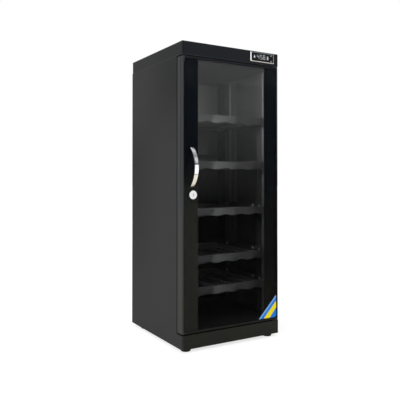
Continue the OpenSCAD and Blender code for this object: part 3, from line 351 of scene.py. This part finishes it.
header_paint = satin_paint("header_satin_paint", (0.006, 0.0085, 0.012), gloss=0.08)
across, deep, height = header_paint.axes()
front_face, left_face = 1 - deep.ramp(-0.182, -0.179), 1 - across.ramp(-0.196, -0.194)
# Painted shade on the front face, dark with a blue cast, and painted light on the left face, olive grey.
header_paint.blend(front_face * 0.95, (0.0003, 0.0018, 0.0038))
header_paint.blend(left_face * 0.9, (0.0072, 0.0074, 0.0072))
# Painted light on the underside of the lower edge, where the gap under the header is in shade.
lower_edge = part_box("top_cap")[0].z
header_paint.blend(1 - height.ramp(lower_edge + 0.0008, lower_edge + 0.002), (0.022, 0.027, 0.033))
header_paint.dress("top_cap")

# Plinth and bottom sheet: one folded piece under the door, in the same satin
# paint gone slightly olive, spot welded between the sides.
plinth_paint = satin_paint("plinth_satin_paint", (0.0088, 0.0088, 0.006), 0.45, gloss=0.12)
plinth_paint.dress("base_pan")

# Chamber lining, ceiling and floor: bare folded sheet in dark grey satin paint,
# held by the flanges of the sides.


def lit_from_above(finish, dark, pale):
    """Painted shade towards the bottom of the chamber and painted light at its top."""
    height = finish.axes()[2]
    finish.blend(1 - height.ramp(0.1, 0.65), dark)
    finish.blend(height.ramp(0.55, 0.95), pale)


lining_paint = satin_paint("lining_grey_paint", (0.03, 0.03, 0.03), 0.5, gloss=0.1)
lit_from_above(lining_paint, (0.004, 0.004, 0.004), (0.2, 0.2, 0.2))
lining_paint.dress("inner_ceiling", "floor_pan")

# Posts: pressed steel channels with a column of holes, spot welded to the sides.
# Each hole has a rolled rim, thick and black as painted shade inside the hole. The
# runners hook in and are screwed on.


def settled(thing):
    """Turns the result of a piece's modifiers into its plain mesh."""
    bpy.context.view_layer.update()
    plain = bpy.data.meshes.new_from_object(thing.evaluated_get(bpy.context.evaluated_depsgraph_get()))
    thing.modifiers.clear()
    thing.data = plain


def smooth(thing):
    """Smooth shading across edges of less than 35 degrees."""
    mesh = thing.data
    for polygon in mesh.polygons:
        polygon.use_smooth = True
    form = bmesh.new()
    form.from_mesh(mesh)
    for edge in form.edges:
        edge.smooth = len(edge.link_faces) == 2 and edge.calc_face_angle(0) < math.radians(35)
    form.to_mesh(mesh)
    form.free()


def grown(name, points, tree, finish, body, slot, *stands_for, **sizes):
    """Points dressed by a Geometry Nodes tree and turned into a plain mesh."""
    mesh = bpy.data.meshes.new(name)
    mesh.from_pydata([tuple(point) for point in points], [], [])
    mesh.materials.append(finish.material)
    thing = bpy.data.objects.new(name, mesh)
    scene.collection.objects.link(thing)
    maker = thing.modifiers.new("maker", "NODES")
    maker.node_group = tree
    for socket in tree.interface.items_tree:
        if socket.in_out == "INPUT" and socket.name in sizes:
            maker[socket.identifier] = sizes[socket.name]
        elif socket.in_out == "INPUT" and socket.name == "Finish":
            maker[socket.identifier] = finish.material
    settled(thing)
    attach(thing, body)
    if stands_for:
        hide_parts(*stands_for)
    smooth(thing)


class Maker(Nodes):
    """A Geometry Nodes tree with named inputs."""

    def __init__(self, name, **inputs):
        tree = bpy.data.node_groups.new(name, "GeometryNodeTree")
        super().__init__(tree, "GeometryNode")
        tree.interface.new_socket("Geometry", in_out="OUTPUT", socket_type="NodeSocketGeometry")
        tree.interface.new_socket("Geometry", in_out="INPUT", socket_type="NodeSocketGeometry")
        for key, value in inputs.items():
            kind = "NodeSocketFloat" if isinstance(value, float) else "NodeSocketVector"
            tree.interface.new_socket(key, in_out="INPUT", socket_type=kind).default_value = value
        tree.interface.new_socket("Finish", in_out="INPUT", socket_type="NodeSocketMaterial")
        self.inputs = self.tree.nodes.new("NodeGroupInput")

    def __getitem__(self, key):
        return Wire(self, self.inputs.outputs[key])

    def at(self, shape, turn=(0, 0, 0), move=(0, 0, 0)):
        return self.add("Transform", None, {"Geometry": shape, "Rotation": turn, "Translation": move})[0]

    def vector(self, x, y, z):
        return self.add("CombineXYZ", None, {0: x, 1: y, 2: z})[0]

    def joined(self, *shapes):
        node = self.tree.nodes.new("GeometryNodeJoinGeometry")
        for shape in shapes:
            self.tree.links.new(shape.socket, node.inputs[0])
        return Wire(self, node.outputs[0])

    def placed(self, shape, turn):
        """One copy on each point, made real, with its finish."""
        copies = self.add("InstanceOnPoints", None, {"Points": self["Geometry"], "Instance": shape,
            "Rotation": turn})
        real = self.add("RealizeInstances", None, {0: copies[0]})
        done = self.add("SetMaterial", None, {"Geometry": real[0], "Material": self["Finish"]})
        self.tree.links.new(done[0].socket, self.tree.nodes.new("NodeGroupOutput").inputs[0])
        return self.tree


# Rims round the holes, thick and black: painted shade inside each hole.
hole_shade_rim = Maker("post_hole_grommet", Radius=0.0031, Thickness=0.0016, Turn=(0.0, 0.0, 0.0))
hole_edge = hole_shade_rim.add("CurvePrimitiveCircle", None, {"Resolution": 32, "Radius": hole_shade_rim["Radius"]})
section = hole_shade_rim.add("CurvePrimitiveCircle", None, {"Resolution": 8, "Radius": hole_shade_rim["Thickness"] / 2})
ring = hole_shade_rim.add("CurveToMesh", None, {0: hole_edge[0], 1: section[0]})
hole_shade_rim_tree = hole_shade_rim.placed(ring[0], hole_shade_rim["Turn"])
lowest_hole, hole_pitch, hole_count = 76.5, 53.5, 17
hole_rows = [lowest_hole + hole_pitch * i for i in range(hole_count)]
post_paint = satin_paint("post_grey_paint", (0.05, 0.05, 0.05), 0.34)
lit_from_above(post_paint, (0.009, 0.009, 0.009), (0.45, 0.45, 0.45))
across, _, height = post_paint.axes()
# Distances from the middle are squared, so that one mask serves both sides.
outwards, flat_face_x = across * across, 0.1776
flat_face = outwards < flat_face_x ** 2
flank = outwards.ramp(0.0322, 0.0332) * (1 - outwards.ramp(0.0365, 0.0375) * 0.4)
# Painted shade on the flanks and flat faces of the posts, with painted light on their upper parts.
post_paint.blend(flank, (0.014, 0.014, 0.014))
post_paint.blend(flank * height.ramp(0.5, 0.9), (0.1, 0.1, 0.1))
post_paint.blend(flat_face, (0.012, 0.012, 0.012))
post_paint.blend(flat_face * height.ramp(0.5, 0.95), (0.11, 0.11, 0.11))
post_paint.dress("front_left_post", "front_right_post", "rear_left_post", "rear_right_post",
    "left_runners", "right_runners")
left_flat, right_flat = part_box("front_left_post")[1].x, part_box("front_right_post")[0].x
front_column, rear_column = 86, 299.7
holes = [Vector((x, spot(0, y, 0).y, spot(0, 0, z).z)) for x in (left_flat, right_flat)
    for y in (front_column, rear_column) for z in hole_rows]
# Painted shade: the rims are black so that each hole reads dark.
hole_shade_black = Finish("grommet_black_rubber", (0.003, 0.003, 0.003), 0.7, gloss=0.05)
hole_shade_black.shade(hole_shade_black.grain(900.0), 1.5)
grown("post_hole_rims", holes, hole_shade_rim_tree, hole_shade_black, "cabinet", "post_grey",
    Turn=(0.0, math.pi / 2, 0.0))

# Runner screws and keeper studs: zinc-plated pan heads with a cross recess hold
# the runners to the posts. Turned studs of satin steel keep the trays in line.


def plated(name, colour, roughness=0.25, scale=900.0, stretch=(1, 1, 0.06)):
    """Plated or polished metal with faint lines from the tool and a little haze."""
    metal = Finish(name, colour, roughness, 1.0)
    marks = metal.grain(scale, 2.0, stretch)
    haze = metal.grain(30.0, 4.0)
    metal.shade(haze.ramp(0.45, 0.8) * 0.5, 0.75)
    metal.dull(marks, max(0.02, roughness - 0.05), roughness + 0.1)
    return metal.bump(marks, 0.00004, 0.3)


zinc = plated("zinc_plate", (0.55, 0.56, 0.57))
zinc.dress("foot_bolts", "lock_nut", "cam_screw")


def loose_parts(name):
    """The lowest and highest corner of each separate solid in a node."""
    form = bmesh.new()
    form.from_mesh(model[name].data)
    bmesh.ops.remove_doubles(form, verts=form.verts, dist=1e-6)
    waiting, found = set(form.verts), []
    while waiting:
        reached, part = [waiting.pop()], []
        while reached:
            vert = reached.pop()
            part.append(vert.co.copy())
            for edge in vert.link_edges:
                other = edge.other_vert(vert)
                if other in waiting:
                    waiting.remove(other)
                    reached.append(other)
        found.append([Vector([pick(co[i] for co in part) for i in range(3)]) for pick in (min, max)])
    form.free()
    return sorted(found, key=lambda box: tuple(round(v, 5) for v in box[0]))


screw = Maker("cross_recess_screw", Radius=0.0035, Head=0.0018, Shank=0.0015, Length=0.005,
    Turn=(0.0, 0.0, 0.0))
ball = screw.add("MeshUVSphere", None, {"Segments": 32, "Rings": 24, "Radius": 1.0})
dome = screw.add("Transform", None, {"Geometry": ball[0],
    "Scale": screw.vector(screw["Radius"], screw["Radius"], screw["Head"])})
block = screw.add("MeshCube", None, {
    "Size": screw.vector(screw["Radius"] * 3, screw["Radius"] * 3, screw["Head"] * 2)})
underside = screw.at(block[0], move=screw.vector(0.0, 0.0, screw["Head"] * -1))
blade = screw.add("MeshCube", None, {
    "Size": screw.vector(screw["Radius"] * 1.15, screw["Radius"] * 0.22, screw["Head"] * 1.1)})
recess = screw.at(blade[0], move=screw.vector(0.0, 0.0, screw["Head"]))
cross_recess = screw.at(blade[0], turn=(0, 0, math.pi / 2), move=screw.vector(0.0, 0.0, screw["Head"]))
head = dome[0]
for cut in (underside, recess, cross_recess):
    head = screw.add("MeshBoolean", {"operation": "DIFFERENCE", "solver": "EXACT"}, {0: head, 1: cut})[0]
rod = screw.add("MeshCylinder", None, {"Vertices": 24, "Radius": screw["Shank"], "Depth": screw["Length"]})
overlap = 0.0002
shank = screw.at(rod[0], move=screw.vector(0.0, 0.0, screw["Length"] * -0.5 + overlap))
screw_tree = screw.placed(screw.joined(head, shank), screw["Turn"])


def screws(node, finish, body, slot, radius, head, shank, length, *sides):
    """One piece for each side of a node's screws: its name, its test for a seat,
    the axis and way that the heads face, and their turn."""
    for name, chosen, axis, way, turn in sides:
        seats = []
        for low, high in loose_parts(node):
            seat = (low + high) / 2
            seat[axis] = high[axis] - head if way > 0 else low[axis] + head
            if chosen(seat):
                seats.append(seat)
        grown(name, seats, screw_tree, finish, body, slot, node, Radius=radius, Head=head, Shank=shank,
            Length=length, Turn=turn)


screws("runner_screws", zinc, "cabinet", "screw_zinc", 0.0045, 0.002, 0.0025, 0.006,
    ("runner_screws_left", lambda seat: seat.x < 0, 0, 1, (0.0, math.pi / 2, 0.0)),
    ("runner_screws_right", lambda seat: seat.x > 0, 0, -1, (0.0, -math.pi / 2, 0.0)))
stud_steel = Finish("stud_satin_steel", (0.22, 0.22, 0.22), 0.3, 0.35)
tool_lines = stud_steel.grain(900.0, 2.0, (1, 1, 0.1))
stud_steel.shade(tool_lines.ramp(0.4, 0.8), 0.8).dull(tool_lines, 0.24, 0.4)
stud_steel.bump(tool_lines, 0.00004, 0.3)
stud_steel.dress("runner_studs")

# Feet: tapered pads of black rubber with a matt skin from the mould. Each turns
# on a bolt under a corner of the plinth, to level the cabinet.
foot_rubber = Finish("foot_rubber", (0.014, 0.014, 0.014), 0.75)
skin = foot_rubber.grain(1500.0, 2.0)
foot_rubber.shade(foot_rubber.grain(60.0).ramp(0.4, 0.7), 1.6).dull(skin, 0.68, 0.85).bump(skin, 0.0001, 0.5)
foot_rubber.dress("foot_pads")

# Dryer unit: a moulded tub and a slotted cover with grey end caps. Behind the
# slots lie two cartridges of drying beads and a finned heater, and two flaps turn
# on pins to open the duct to the chamber or to the outside.


def moulded(name, colour, roughness=0.5, scale=1600.0):
    """Injection-moulded plastic with a fine even grain."""
    plastic = Finish(name, colour, roughness)
    grains = plastic.grain(scale, 2.0)
    flow = plastic.grain(12.0, 3.0)
    plastic.shade(flow.ramp(0.4, 0.75) * 0.5, 1.3)
    plastic.dull(grains, roughness - 0.07, roughness + 0.1)
    return plastic.bump(grains, 0.00008, 0.5)


def add_piece(name, form, finish, body, slot, *stands_for):
    """A finished mesh that rides on a body, with its normals outwards."""
    bmesh.ops.recalc_face_normals(form, faces=form.faces)
    mesh = bpy.data.meshes.new(name)
    form.to_mesh(mesh)
    form.free()
    mesh.materials.append(finish.material)
    thing = bpy.data.objects.new(name, mesh)
    scene.collection.objects.link(thing)
    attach(thing, body)
    if stands_for:
        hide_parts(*stands_for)
    return thing


dryer_plastic = moulded("dryer_black_plastic", (0.03, 0.03, 0.03))
dryer_plastic.dress("dryer_housing", "dryer_cover", "power_inlet")
cap_plastic = moulded("end_cap_grey_plastic", (0.17, 0.17, 0.17))
cover_low, cover_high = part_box("dryer_cover")
cap_width, cap_thick, stands_out = 0.06, 0.0016, 0.0007
for name, start in (("left_end_cap", cover_low.x), ("right_end_cap", cover_high.x - cap_width)):
    plate = bmesh.new()
    block = bmesh.ops.create_cube(plate, size=1)["verts"]
    bmesh.ops.scale(plate, verts=block, vec=(cap_width, cap_thick, cover_high.z - cover_low.z))
    bmesh.ops.translate(plate, verts=block, vec=(start + cap_width / 2, cover_low.y - stands_out,
        (cover_low.z + cover_high.z) / 2))
    bmesh.ops.bevel(plate, geom=list(plate.edges), offset=0.0005, segments=2, affect="EDGES")
    add_piece("dryer_" + name, plate, cap_plastic, "cabinet", "dryer_black")
flap_plastic = moulded("shutter_grey_plastic", (0.06, 0.06, 0.06))
flap_plastic.dress("inner_shutter", "outer_shutter")
bead_cartridge = Finish("bead_cartridge", (0.62, 0.57, 0.47), 0.8)
beads = bead_cartridge.add("TexVoronoi", {"feature": "SMOOTH_F1"},
    {"Vector": bead_cartridge.place, "Scale": 330.0, "Smoothness": 0.3})["Distance"]
bead_cartridge.shade(beads.ramp(0.3, 0.8), 0.72).dull(beads, 0.72, 0.88).bump(1 - beads, 0.0012, 0.8)
bead_cartridge.dress("desiccant_packs")
fin_metal = plated("heater_aluminium", (0.5, 0.5, 0.5), 0.35, 1400.0, (1, 1, 0.03))
fin_metal.dress("dryer_heater")
grille_paint = satin_paint("grille_black_paint", (0.012, 0.012, 0.012), 0.42)
grille_paint.dress("exhaust_grille", "hinge_brackets", "strike_plate")

# Boards: green glass-fibre sheets with copper tracks under the lacquer, on the
# chamber's ceiling inside the header and behind the display.
board = Finish("circuit_board", (0.012, 0.09, 0.035), 0.35)
tracks = board.add("TexBrick", None, {"Vector": board.place, "Scale": 90.0, "Mortar Size": 0.05})
board.shade(tracks["Fac"], 1.8).bump(tracks["Fac"], 0.0001, 0.5)
board.dress("control_board", "display_board")

# Sensor: a small vented box of ivory plastic. It clips under the ceiling of the
# chamber and tells the control board how humid the air is.
sensor_plastic = moulded("sensor_ivory_plastic", (0.55, 0.54, 0.5), 0.45)
sensor_plastic.dress("humidity_sensor")

# Case and handle screws: blackened steel pan heads with a cross recess. Five go
# down each side of the back, four through the back of the header, and two hold
# the handle from behind the glass.
black_steel = plated("blackened_steel", (0.05, 0.05, 0.05), 0.38)
screws("handle_screws", black_steel, "door", "screw_zinc", 0.004, 0.0022, 0.002, 0.03,
    ("handle_screws_rear", lambda seat: True, 1, 1, (-math.pi / 2, 0.0, 0.0)))
screws("case_screws", black_steel, "cabinet", "screw_black", 0.0035, 0.0018, 0.0015, 0.005,
    ("case_screws_rear", lambda seat: True, 1, 1, (-math.pi / 2, 0.0, 0.0)))

# Display: a chromed bezel snapped into the header, a gloss black face plate, and
# three silver keys. The bezel carries painted reflections: bright at its left end and
# lower rail, dark at its upper rail and right end.
bezel_chrome = plated("bezel_chrome", (0.16, 0.165, 0.17), 0.16, 200.0, (1, 1, 1))
across, _, height = bezel_chrome.axes()
bezel_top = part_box("display_bezel")[1].z
lower_rail = 1 - height.ramp(spot(0, 0, 965).z, spot(0, 0, 967).z)
upper_rail = height.ramp(bezel_top - 0.003, bezel_top - 0.0015)
left_end = 1 - across.ramp(spot(273, 0, 0).x, spot(275, 0, 0).x)
right_end = across.ramp(spot(371, 0, 0).x, spot(374, 0, 0).x)
# Painted reflections on the chrome.
bezel_chrome.blend(lower_rail, (0.3, 0.29, 0.26))
bezel_chrome.blend(left_end, (0.4, 0.4, 0.4))
bezel_chrome.blend(upper_rail, (0.02, 0.0205, 0.0215))
bezel_chrome.blend(right_end, (0.03, 0.032, 0.036))
bezel_chrome.dress("display_bezel")
plate_gloss = Finish("face_plate_gloss", (0.002, 0.0022, 0.003), 0.12, gloss=0.03)
plate_gloss.dull(plate_gloss.grain(25.0, 4.0), 0.08, 0.2)
plate_gloss.dress("display_lens")
key_silver = moulded("key_silver", (0.5, 0.51, 0.52), 0.35)
key_silver.dress("set_button", "up_button", "down_button")

# Hinge: a turned steel pin at the top and at the bottom of the door, pressed
# into the brackets. Each runs in a bearing bush of white plastic.
pin_steel = plated("pin_steel", (0.45, 0.45, 0.45), 0.3)
pin_steel.dress("hinge_pins")
bush_plastic = moulded("bush_white_plastic", (0.6, 0.6, 0.57), 0.4)
bush_plastic.dress("hinge_bushes")

# Door: a thin steel pan holds a sheet of toughened glass on a hollow folded
# frame. The glass has a wide black border fired on its back, which hides the
# frame, and a flat magnetic seal runs round the back of the door.
door_paint = satin_paint("door_satin_paint", (0.005, 0.0065, 0.0085), 0.4, gloss=0.06)
across, deep, height = door_paint.axes()
left_lip, low_edge = 1 - across.ramp(spot(8, 0, 0).x, spot(12, 0, 0).x), 1 - height.ramp(0.07, 0.1)
groove = deep.between(spot(0, 10, 0).y, spot(0, 15, 0).y, 0.001)
# Painted light on the left edge face, with a dark groove along its upper part, and a warmer painted light on
# its lower part.
door_paint.blend(left_lip, (0.036, 0.038, 0.039))
door_paint.blend(left_lip * groove * height.ramp(0.35, 0.55), (0.004, 0.0045, 0.005))
door_paint.blend(left_lip * (1 - height.ramp(0.15, 0.55)), (0.038, 0.0375, 0.031))
# Painted light along the bottom of the door, away from the left edge.
door_paint.blend((1 - left_lip) * low_edge, (0.0125, 0.0125, 0.011))
door_paint.dress("door_skin")
frame_paint = satin_paint("door_frame_paint", (0.03, 0.03, 0.031), 0.4, gloss=0.05)
lit_from_above(frame_paint, (0.006, 0.006, 0.006), (0.16, 0.16, 0.16))
frame_paint.dress("door_inner_frame")
border_ink = Finish("fired_black_border", (0.0072, 0.0092, 0.0135), 0.5, gloss=0.0)
across, _, height = border_ink.axes()
lower_half, right_corner = 1 - height.ramp(0.42, 0.66), (1 - height.ramp(0.1, 0.3)) * across.ramp(0.1, 0.14)
# Painted reflections in the border: greyer in the lower half, lighter at the lower left, and warm in the
# lower right corner.
border_ink.blend(lower_half, (0.0068, 0.0068, 0.0074))
border_ink.blend(lower_half * (1 - across.ramp(-0.14, 0.1)), (0.038, 0.038, 0.0345))
border_ink.blend(right_corner, (0.0165, 0.016, 0.013))
border_ink.dull(border_ink.grain(8.0, 4.0), 0.45, 0.6)
low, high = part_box("glass_border")
xs = (low.x, spot(62.5, 0, 0).x, spot(335, 0, 0).x, high.x)
zs = (low.z, spot(0, 0, 57).z, spot(0, 0, 944).z, high.z)
ink_front, ink_back = spot(0, 5.85, 0).y, spot(0, 6.05, 0).y
border = bmesh.new()


def border_loop(y, a, b):
    """Four corners of the border's outer or inner edge."""
    return [border.verts.new((xs[i], y, zs[k])) for i, k in ((a, a), (b, a), (b, b), (a, b))]


front_outer, front_inner = border_loop(ink_front, 0, 3), border_loop(ink_front, 1, 2)
back_outer, back_inner = border_loop(ink_back, 0, 3), border_loop(ink_back, 1, 2)
for k in range(4):
    m = (k + 1) % 4
    for one, two in ((front_outer, front_inner), (back_inner, back_outer), (back_outer, front_outer),
            (front_inner, back_inner)):
        border.faces.new((one[k], one[m], two[m], two[k]))
add_piece("fired_border", border, border_ink, "door", "border_black", "glass_border")
gasket_rubber = Finish("gasket_rubber", (0.02, 0.02, 0.02), 0.7)
ribs = gasket_rubber.grain(1200.0, 2.0)
gasket_rubber.shade(ribs, 1.5).dull(ribs, 0.6, 0.8).bump(ribs, 0.0001, 0.4)
gasket_rubber.dress("door_gasket")
pane = Finish("toughened_glass", (0.5, 0.55, 0.56), 0.03)
# Clear glass that mirrors a little where it is seen at a slant.
slanted = pane.add("Fresnel", None, {"IOR": 1.06})
clear = pane.add("BsdfTransparent", None, {"Color": (0.86, 0.865, 0.865, 1)})
mirror = pane.add("BsdfAnisotropic", None, {"Color": (1, 1, 1, 1), "Roughness": 0.02})
face = pane.add("MixShader", None, {0: slanted[0], 1: clear[0], 2: mirror[0]})
result = next(node for node in pane.tree.nodes if node.type == "OUTPUT_MATERIAL")
pane.tree.links.new(face[0].socket, result.inputs[0])
pane.tree.nodes.remove(pane.shader.node)
pane.dress("door_glass")

# Painted reflection: a thin grey sheet on the back of the pane, inside the black
# border, that stands in for a reflection in the glass. It is clear at the bottom
# and thickens towards the top.


def sheet_between(form, near, far):
    """A thin flat sheet from two outlines with as many corners."""
    form.faces.new(near)
    form.faces.new(list(reversed(far)))
    for i in range(len(near)):
        j = (i + 1) % len(near)
        form.faces.new((near[i], far[i], far[j], near[j]))


# Painted reflection: grey, more opaque towards the top.
reflection_veil = Finish("glass_veil", (0.135, 0.135, 0.135), 0.5, gloss=0.0)
reflection_veil.feed("Alpha", reflection_veil.axes()[2].ramp(0.42, 1.0) * 0.45)
low, high = spot(62.7, 0, 57.2), spot(334.8, 0, 943.8)
corners = ((low.x, low.z), (high.x, low.z), (high.x, high.z), (low.x, high.z))
paint_layer = bmesh.new()
near, far = [[paint_layer.verts.new((x, spot(0, y, 0).y, z)) for x, z in corners] for y in (5.9, 5.95)]
sheet_between(paint_layer, near, far)
add_piece("glass_shading", paint_layer, reflection_veil, "door", "door_glass")

# Bow handle: a strip of steel bent to an arc, with solid round-edged feet on the
# glass. It is polished and chromed, and held by two screws from the back of the
# door.
low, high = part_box("door_handle")
half = (high.z - low.z) / 2
to_left, shallower = 0.0025, 0.005
middle = Vector(((low.x + high.x) / 2 - to_left, 0, (high.z + low.z) / 2))
seat, reach = high.y, high.y - low.y - shallower
bow = (half * half + reach * reach) / (2 * reach)
strip, half_width, foot_length, foot_fillet = 0.003, 0.007, 0.011, 0.002
stations, ring_points, squareness = 96, 32, 0.45
bow_form = bmesh.new()
rings = []
for i in range(stations + 1):
    lean = math.asin(min(1, half / bow)) * (2 * i / stations - 1)
    z = bow * math.sin(lean)
    outer = seat - reach + bow - bow * math.cos(lean)
    into_foot = min(1.0, max(0.0, (abs(z) - (half - foot_length)) / foot_fillet))
    out = Vector((0, -math.cos(lean), math.sin(lean)))
    ring = []
    for k in range(ring_points):
        angle = 2 * math.pi * k / ring_points
        side, face = (math.copysign(abs(part) ** squareness, part)
            for part in (math.cos(angle), math.sin(angle)))
        if into_foot == 0:
            centre = Vector((middle.x, outer, middle.z + z)) - out * (strip / 2)
            point = centre + Vector((side * half_width, 0, 0)) + out * (face * strip / 2)
        else:
            point = Vector((middle.x + side * half_width, outer + strip / 2, middle.z + z)) \
                + out * (face * strip / 2)
            if face < 0:
                point.y = outer + strip / 2 + (seat - outer - strip / 2) * -face * into_foot \
                    + (strip / 2) * -face * (1 - into_foot)
                point.y = min(point.y, seat)
        ring.append(bow_form.verts.new(point))
    rings.append(ring)
for first, second in zip(rings, rings[1:]):
    for k in range(ring_points):
        m = (k + 1) % ring_points
        bow_form.faces.new((first[k], first[m], second[m], second[k]))
bow_form.faces.new(rings[0])
bow_form.faces.new(list(reversed(rings[-1])))
handle_chrome = plated("handle_chrome", (0.8, 0.8, 0.81), 0.22, 160.0, (1, 1, 1))
# Painted reflections on the chrome: dark bands on the upper part of the bow, a warm pale lower end and a
# grey line above that end.
up = handle_chrome.axes()[2] - middle.z
handle_chrome.blend(up.ramp(0.006, 0.008) * (1 - up.ramp(0.01, 0.07)), (0.05, 0.052, 0.056))
handle_chrome.blend(up.ramp(0.008, 0.016) * (1 - up.ramp(0.034, 0.06)) * 0.7, (0.17, 0.17, 0.175))
handle_chrome.blend(1 - up.ramp(-0.0235, -0.022), (0.66, 0.61, 0.52))
handle_chrome.blend(up.between(-0.0255, -0.021, 0.002), (0.25, 0.25, 0.25))
smooth(add_piece("bow_handle", bow_form, handle_chrome, "door", "handle_chrome", "door_handle"))

# Cam lock: a chromed round body on the glass with a plug that the key turns. A
# nut holds it in the frame, and a steel tongue is screwed to its tail.
lock_chrome = plated("lock_satin_chrome", (0.66, 0.66, 0.65), 0.16, 500.0, (1, 1, 1))
lock_chrome.dress("lock_housing", "lock_cylinder")
cam_steel = plated("cam_zinc_steel", (0.45, 0.45, 0.44), 0.35)
cam_steel.dress("lock_cam")

# Shelf trays: slotted sheet steel with low sides, folded, welded and painted dark
# grey. They slide on the runners.
tray_paint = satin_paint("tray_grey_paint", (0.07, 0.07, 0.07), 0.36)
tray_paint.dress(*(f"shelf_tray_{i}" for i in range(1, 6)))

# Shelf fronts: grey mouldings with a wavy lower edge and a pull that swells out
# at the middle, clipped over the front wall of each tray. Their edges are rounded
# by the mould.


def softened(name, radius):
    """The same solid with its hard edges rounded."""
    source = model[name]
    form = bmesh.new()
    form.from_mesh(source.data)
    bmesh.ops.remove_doubles(form, verts=form.verts, dist=1e-6)
    bmesh.ops.dissolve_limit(form, angle_limit=math.radians(0.5), verts=form.verts, edges=form.edges)
    mesh = bpy.data.meshes.new(name + "_rounded")
    form.to_mesh(mesh)
    form.free()
    mesh.materials.append(source.data.materials[0])
    rough = bpy.data.objects.new(name + "_rounded", mesh)
    scene.collection.objects.link(rough)
    edge = rough.modifiers.new("edge", "BEVEL")
    edge.width, edge.segments, edge.limit_method = radius, 2, "ANGLE"
    edge.angle_limit = math.radians(30)
    settled(rough)
    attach(rough, source["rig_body"])
    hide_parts(name)


front_plastic = moulded("shelf_front_grey_plastic", (0.036, 0.036, 0.036), 0.42, 1400.0)
lit_from_above(front_plastic, (0.02, 0.02, 0.02), (0.14, 0.14, 0.14))
across, _, height = front_plastic.axes()
low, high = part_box("shelf_front_1")
own_height = (height - low.z) % (hole_pitch / 1000)
slant = 0.015 / (high.z - low.z)
pull_edge = (across - own_height * slant).ramp(-0.0545, -0.0535)
pull_face = pull_edge * (1 - across.ramp(-0.04, 0.06))
# Painted light on the pull's left slanted edge and face, stronger on the upper shelves, and painted shade on
# its right end.
front_plastic.blend(pull_face * (0.18 + height.ramp(0.5, 0.85) * 0.82), (0.2, 0.2, 0.2))
front_plastic.blend(across.ramp(0.05, 0.054) * 0.4, (0.03, 0.03, 0.03))
for i in range(1, 6):
    front_plastic.dress(f"shelf_front_{i}")
    softened(f"shelf_front_{i}", 0.0005)

# Display marks: pale digits of seven strokes and a drop for humidity, behind the
# black face plate, and a dark arrow on each of the two small keys.
marks = Finish("display_pale_marks", (0.62, 0.66, 0.68), 0.4)
marks.shade(marks.grain(400.0).ramp(0.3, 0.8), 1.2)
strokes = {"4": "bcfg", "8": "abcdefg", "5": "acdfg"}
plate_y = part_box("display_lens")[0].y
digit_width, digit_height, line, film_thick = 0.0078, 0.0145, 0.0014, 0.0001
stroke_places = {"a": (0, 2), "d": (0, -2), "g": (0, 0), "f": (-1, 1), "e": (-1, -1), "b": (1, 1),
    "c": (1, -1)}
digits = bmesh.new()
for place, digit in ((304, "4"), (317.9, "5"), (330.1, "8")):
    centre = spot(place, 0, 980.6)
    for stroke in strokes[digit]:
        side, level = stroke_places[stroke]
        size = (digit_width - line, film_thick, line) if stroke in "adg" \
            else (line, film_thick, digit_height / 2 - line * 0.6)
        block = bmesh.ops.create_cube(digits, size=1)["verts"]
        bmesh.ops.scale(digits, verts=block, vec=size)
        bmesh.ops.translate(digits, verts=block, vec=(centre.x + side * digit_width / 2, plate_y - 0.00003,
            centre.z + level * digit_height / 4))
tip, drop_radius, drop_length, drop_steps = spot(288.4, 0, 987.0), 0.0032, 0.0085, 24
drop = []
for i in range(drop_steps + 1):
    angle = -math.pi / 2 + math.radians(250) * (i / drop_steps - 0.5)
    drop.append((tip.x + drop_radius * math.cos(angle), tip.z - drop_length + drop_radius * math.sin(angle)))
drop.append((tip.x, tip.z))
near, far = [[digits.verts.new((x, y, z)) for x, z in drop] for y in (plate_y - 0.00008, plate_y + 0.00002)]
sheet_between(digits, near, far)
add_piece("display_digits", digits, marks, "cabinet", "lens_black")
arrow_ink = moulded("arrow_dark_ink", (0.03, 0.035, 0.04), 0.5)
for key, body, way in (("up_button", "up_key", 1), ("down_button", "down_key", -1)):
    low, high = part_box(key)
    centre = (low + high) / 2
    arrow = bmesh.new()
    ends = [(-0.0011, -0.0008 * way), (0.0011, -0.0008 * way), (0, 0.0011 * way)]
    near, far = [[arrow.verts.new((centre.x + x, y, centre.z + z)) for x, z in ends]
        for y in (low.y - 0.00008, low.y + 0.0001)]
    sheet_between(arrow, near, far)
    add_piece(key.replace("button", "arrow"), arrow, arrow_ink, body, "button_silver")

# Corner sticker: a plain blue vinyl triangle with a pale edge and a yellow band,
# stuck on the front of the glass in its lower right corner.
vinyl_blue = moulded("vinyl_blue", (0.0, 0.19, 0.72), 0.3)
vinyl_pale = moulded("vinyl_pale_blue", (0.2, 0.42, 0.8), 0.3)
vinyl_yellow = moulded("vinyl_yellow", (1.0, 0.8, 0.0), 0.3)
corner, left, top = Vector((385.7, 57.6)), Vector((307.8, 58.5)), Vector((384.5, 135.7))


def film(name, outline, finish, front, back):
    """A flat film in front of the glass, between two depths in millimetres."""
    form = bmesh.new()
    near, far = [[form.verts.new(spot(x, y, z)) for x, z in outline] for y in (front, back)]
    sheet_between(form, near, far)
    add_piece(name, form, finish, "door", "door_glass")


right_foot, right_top = corner.lerp(left, 0.07), corner.lerp(top, 0.07)
film("sticker_edge", (left, right_foot, right_top, top), vinyl_pale, 1.62, 1.78)
film("sticker_blue", (left.lerp(corner, 0.1), right_foot, right_top, top.lerp(corner, 0.1)), vinyl_blue,
    1.56, 1.7)
film("sticker_band", (left.lerp(corner, 0.28), left.lerp(corner, 0.62), top.lerp(corner, 0.56),
    top.lerp(corner, 0.27)), vinyl_yellow, 1.5, 1.66)

# Chamber light: the small lamp of the studio reaches the pieces inside the
# chamber only, and only its fittings throw a shadow in it.
inside_words = ("right_side", "back_panel", "post", "runner", "shelf", "dryer", "inner_ceiling", "floor_pan",
    "sensor", "inner_frame")
for piece in list(scene.objects):
    if piece.type == "MESH" and any(word in piece.name for word in inside_words):
        chamber.objects.link(piece)
        if not any(word in piece.name for word in ("_side", "back_panel", "inner_frame")):
            fittings.objects.link(piece)

# Sizes: the box of the dressed model, in metres.
low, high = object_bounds()
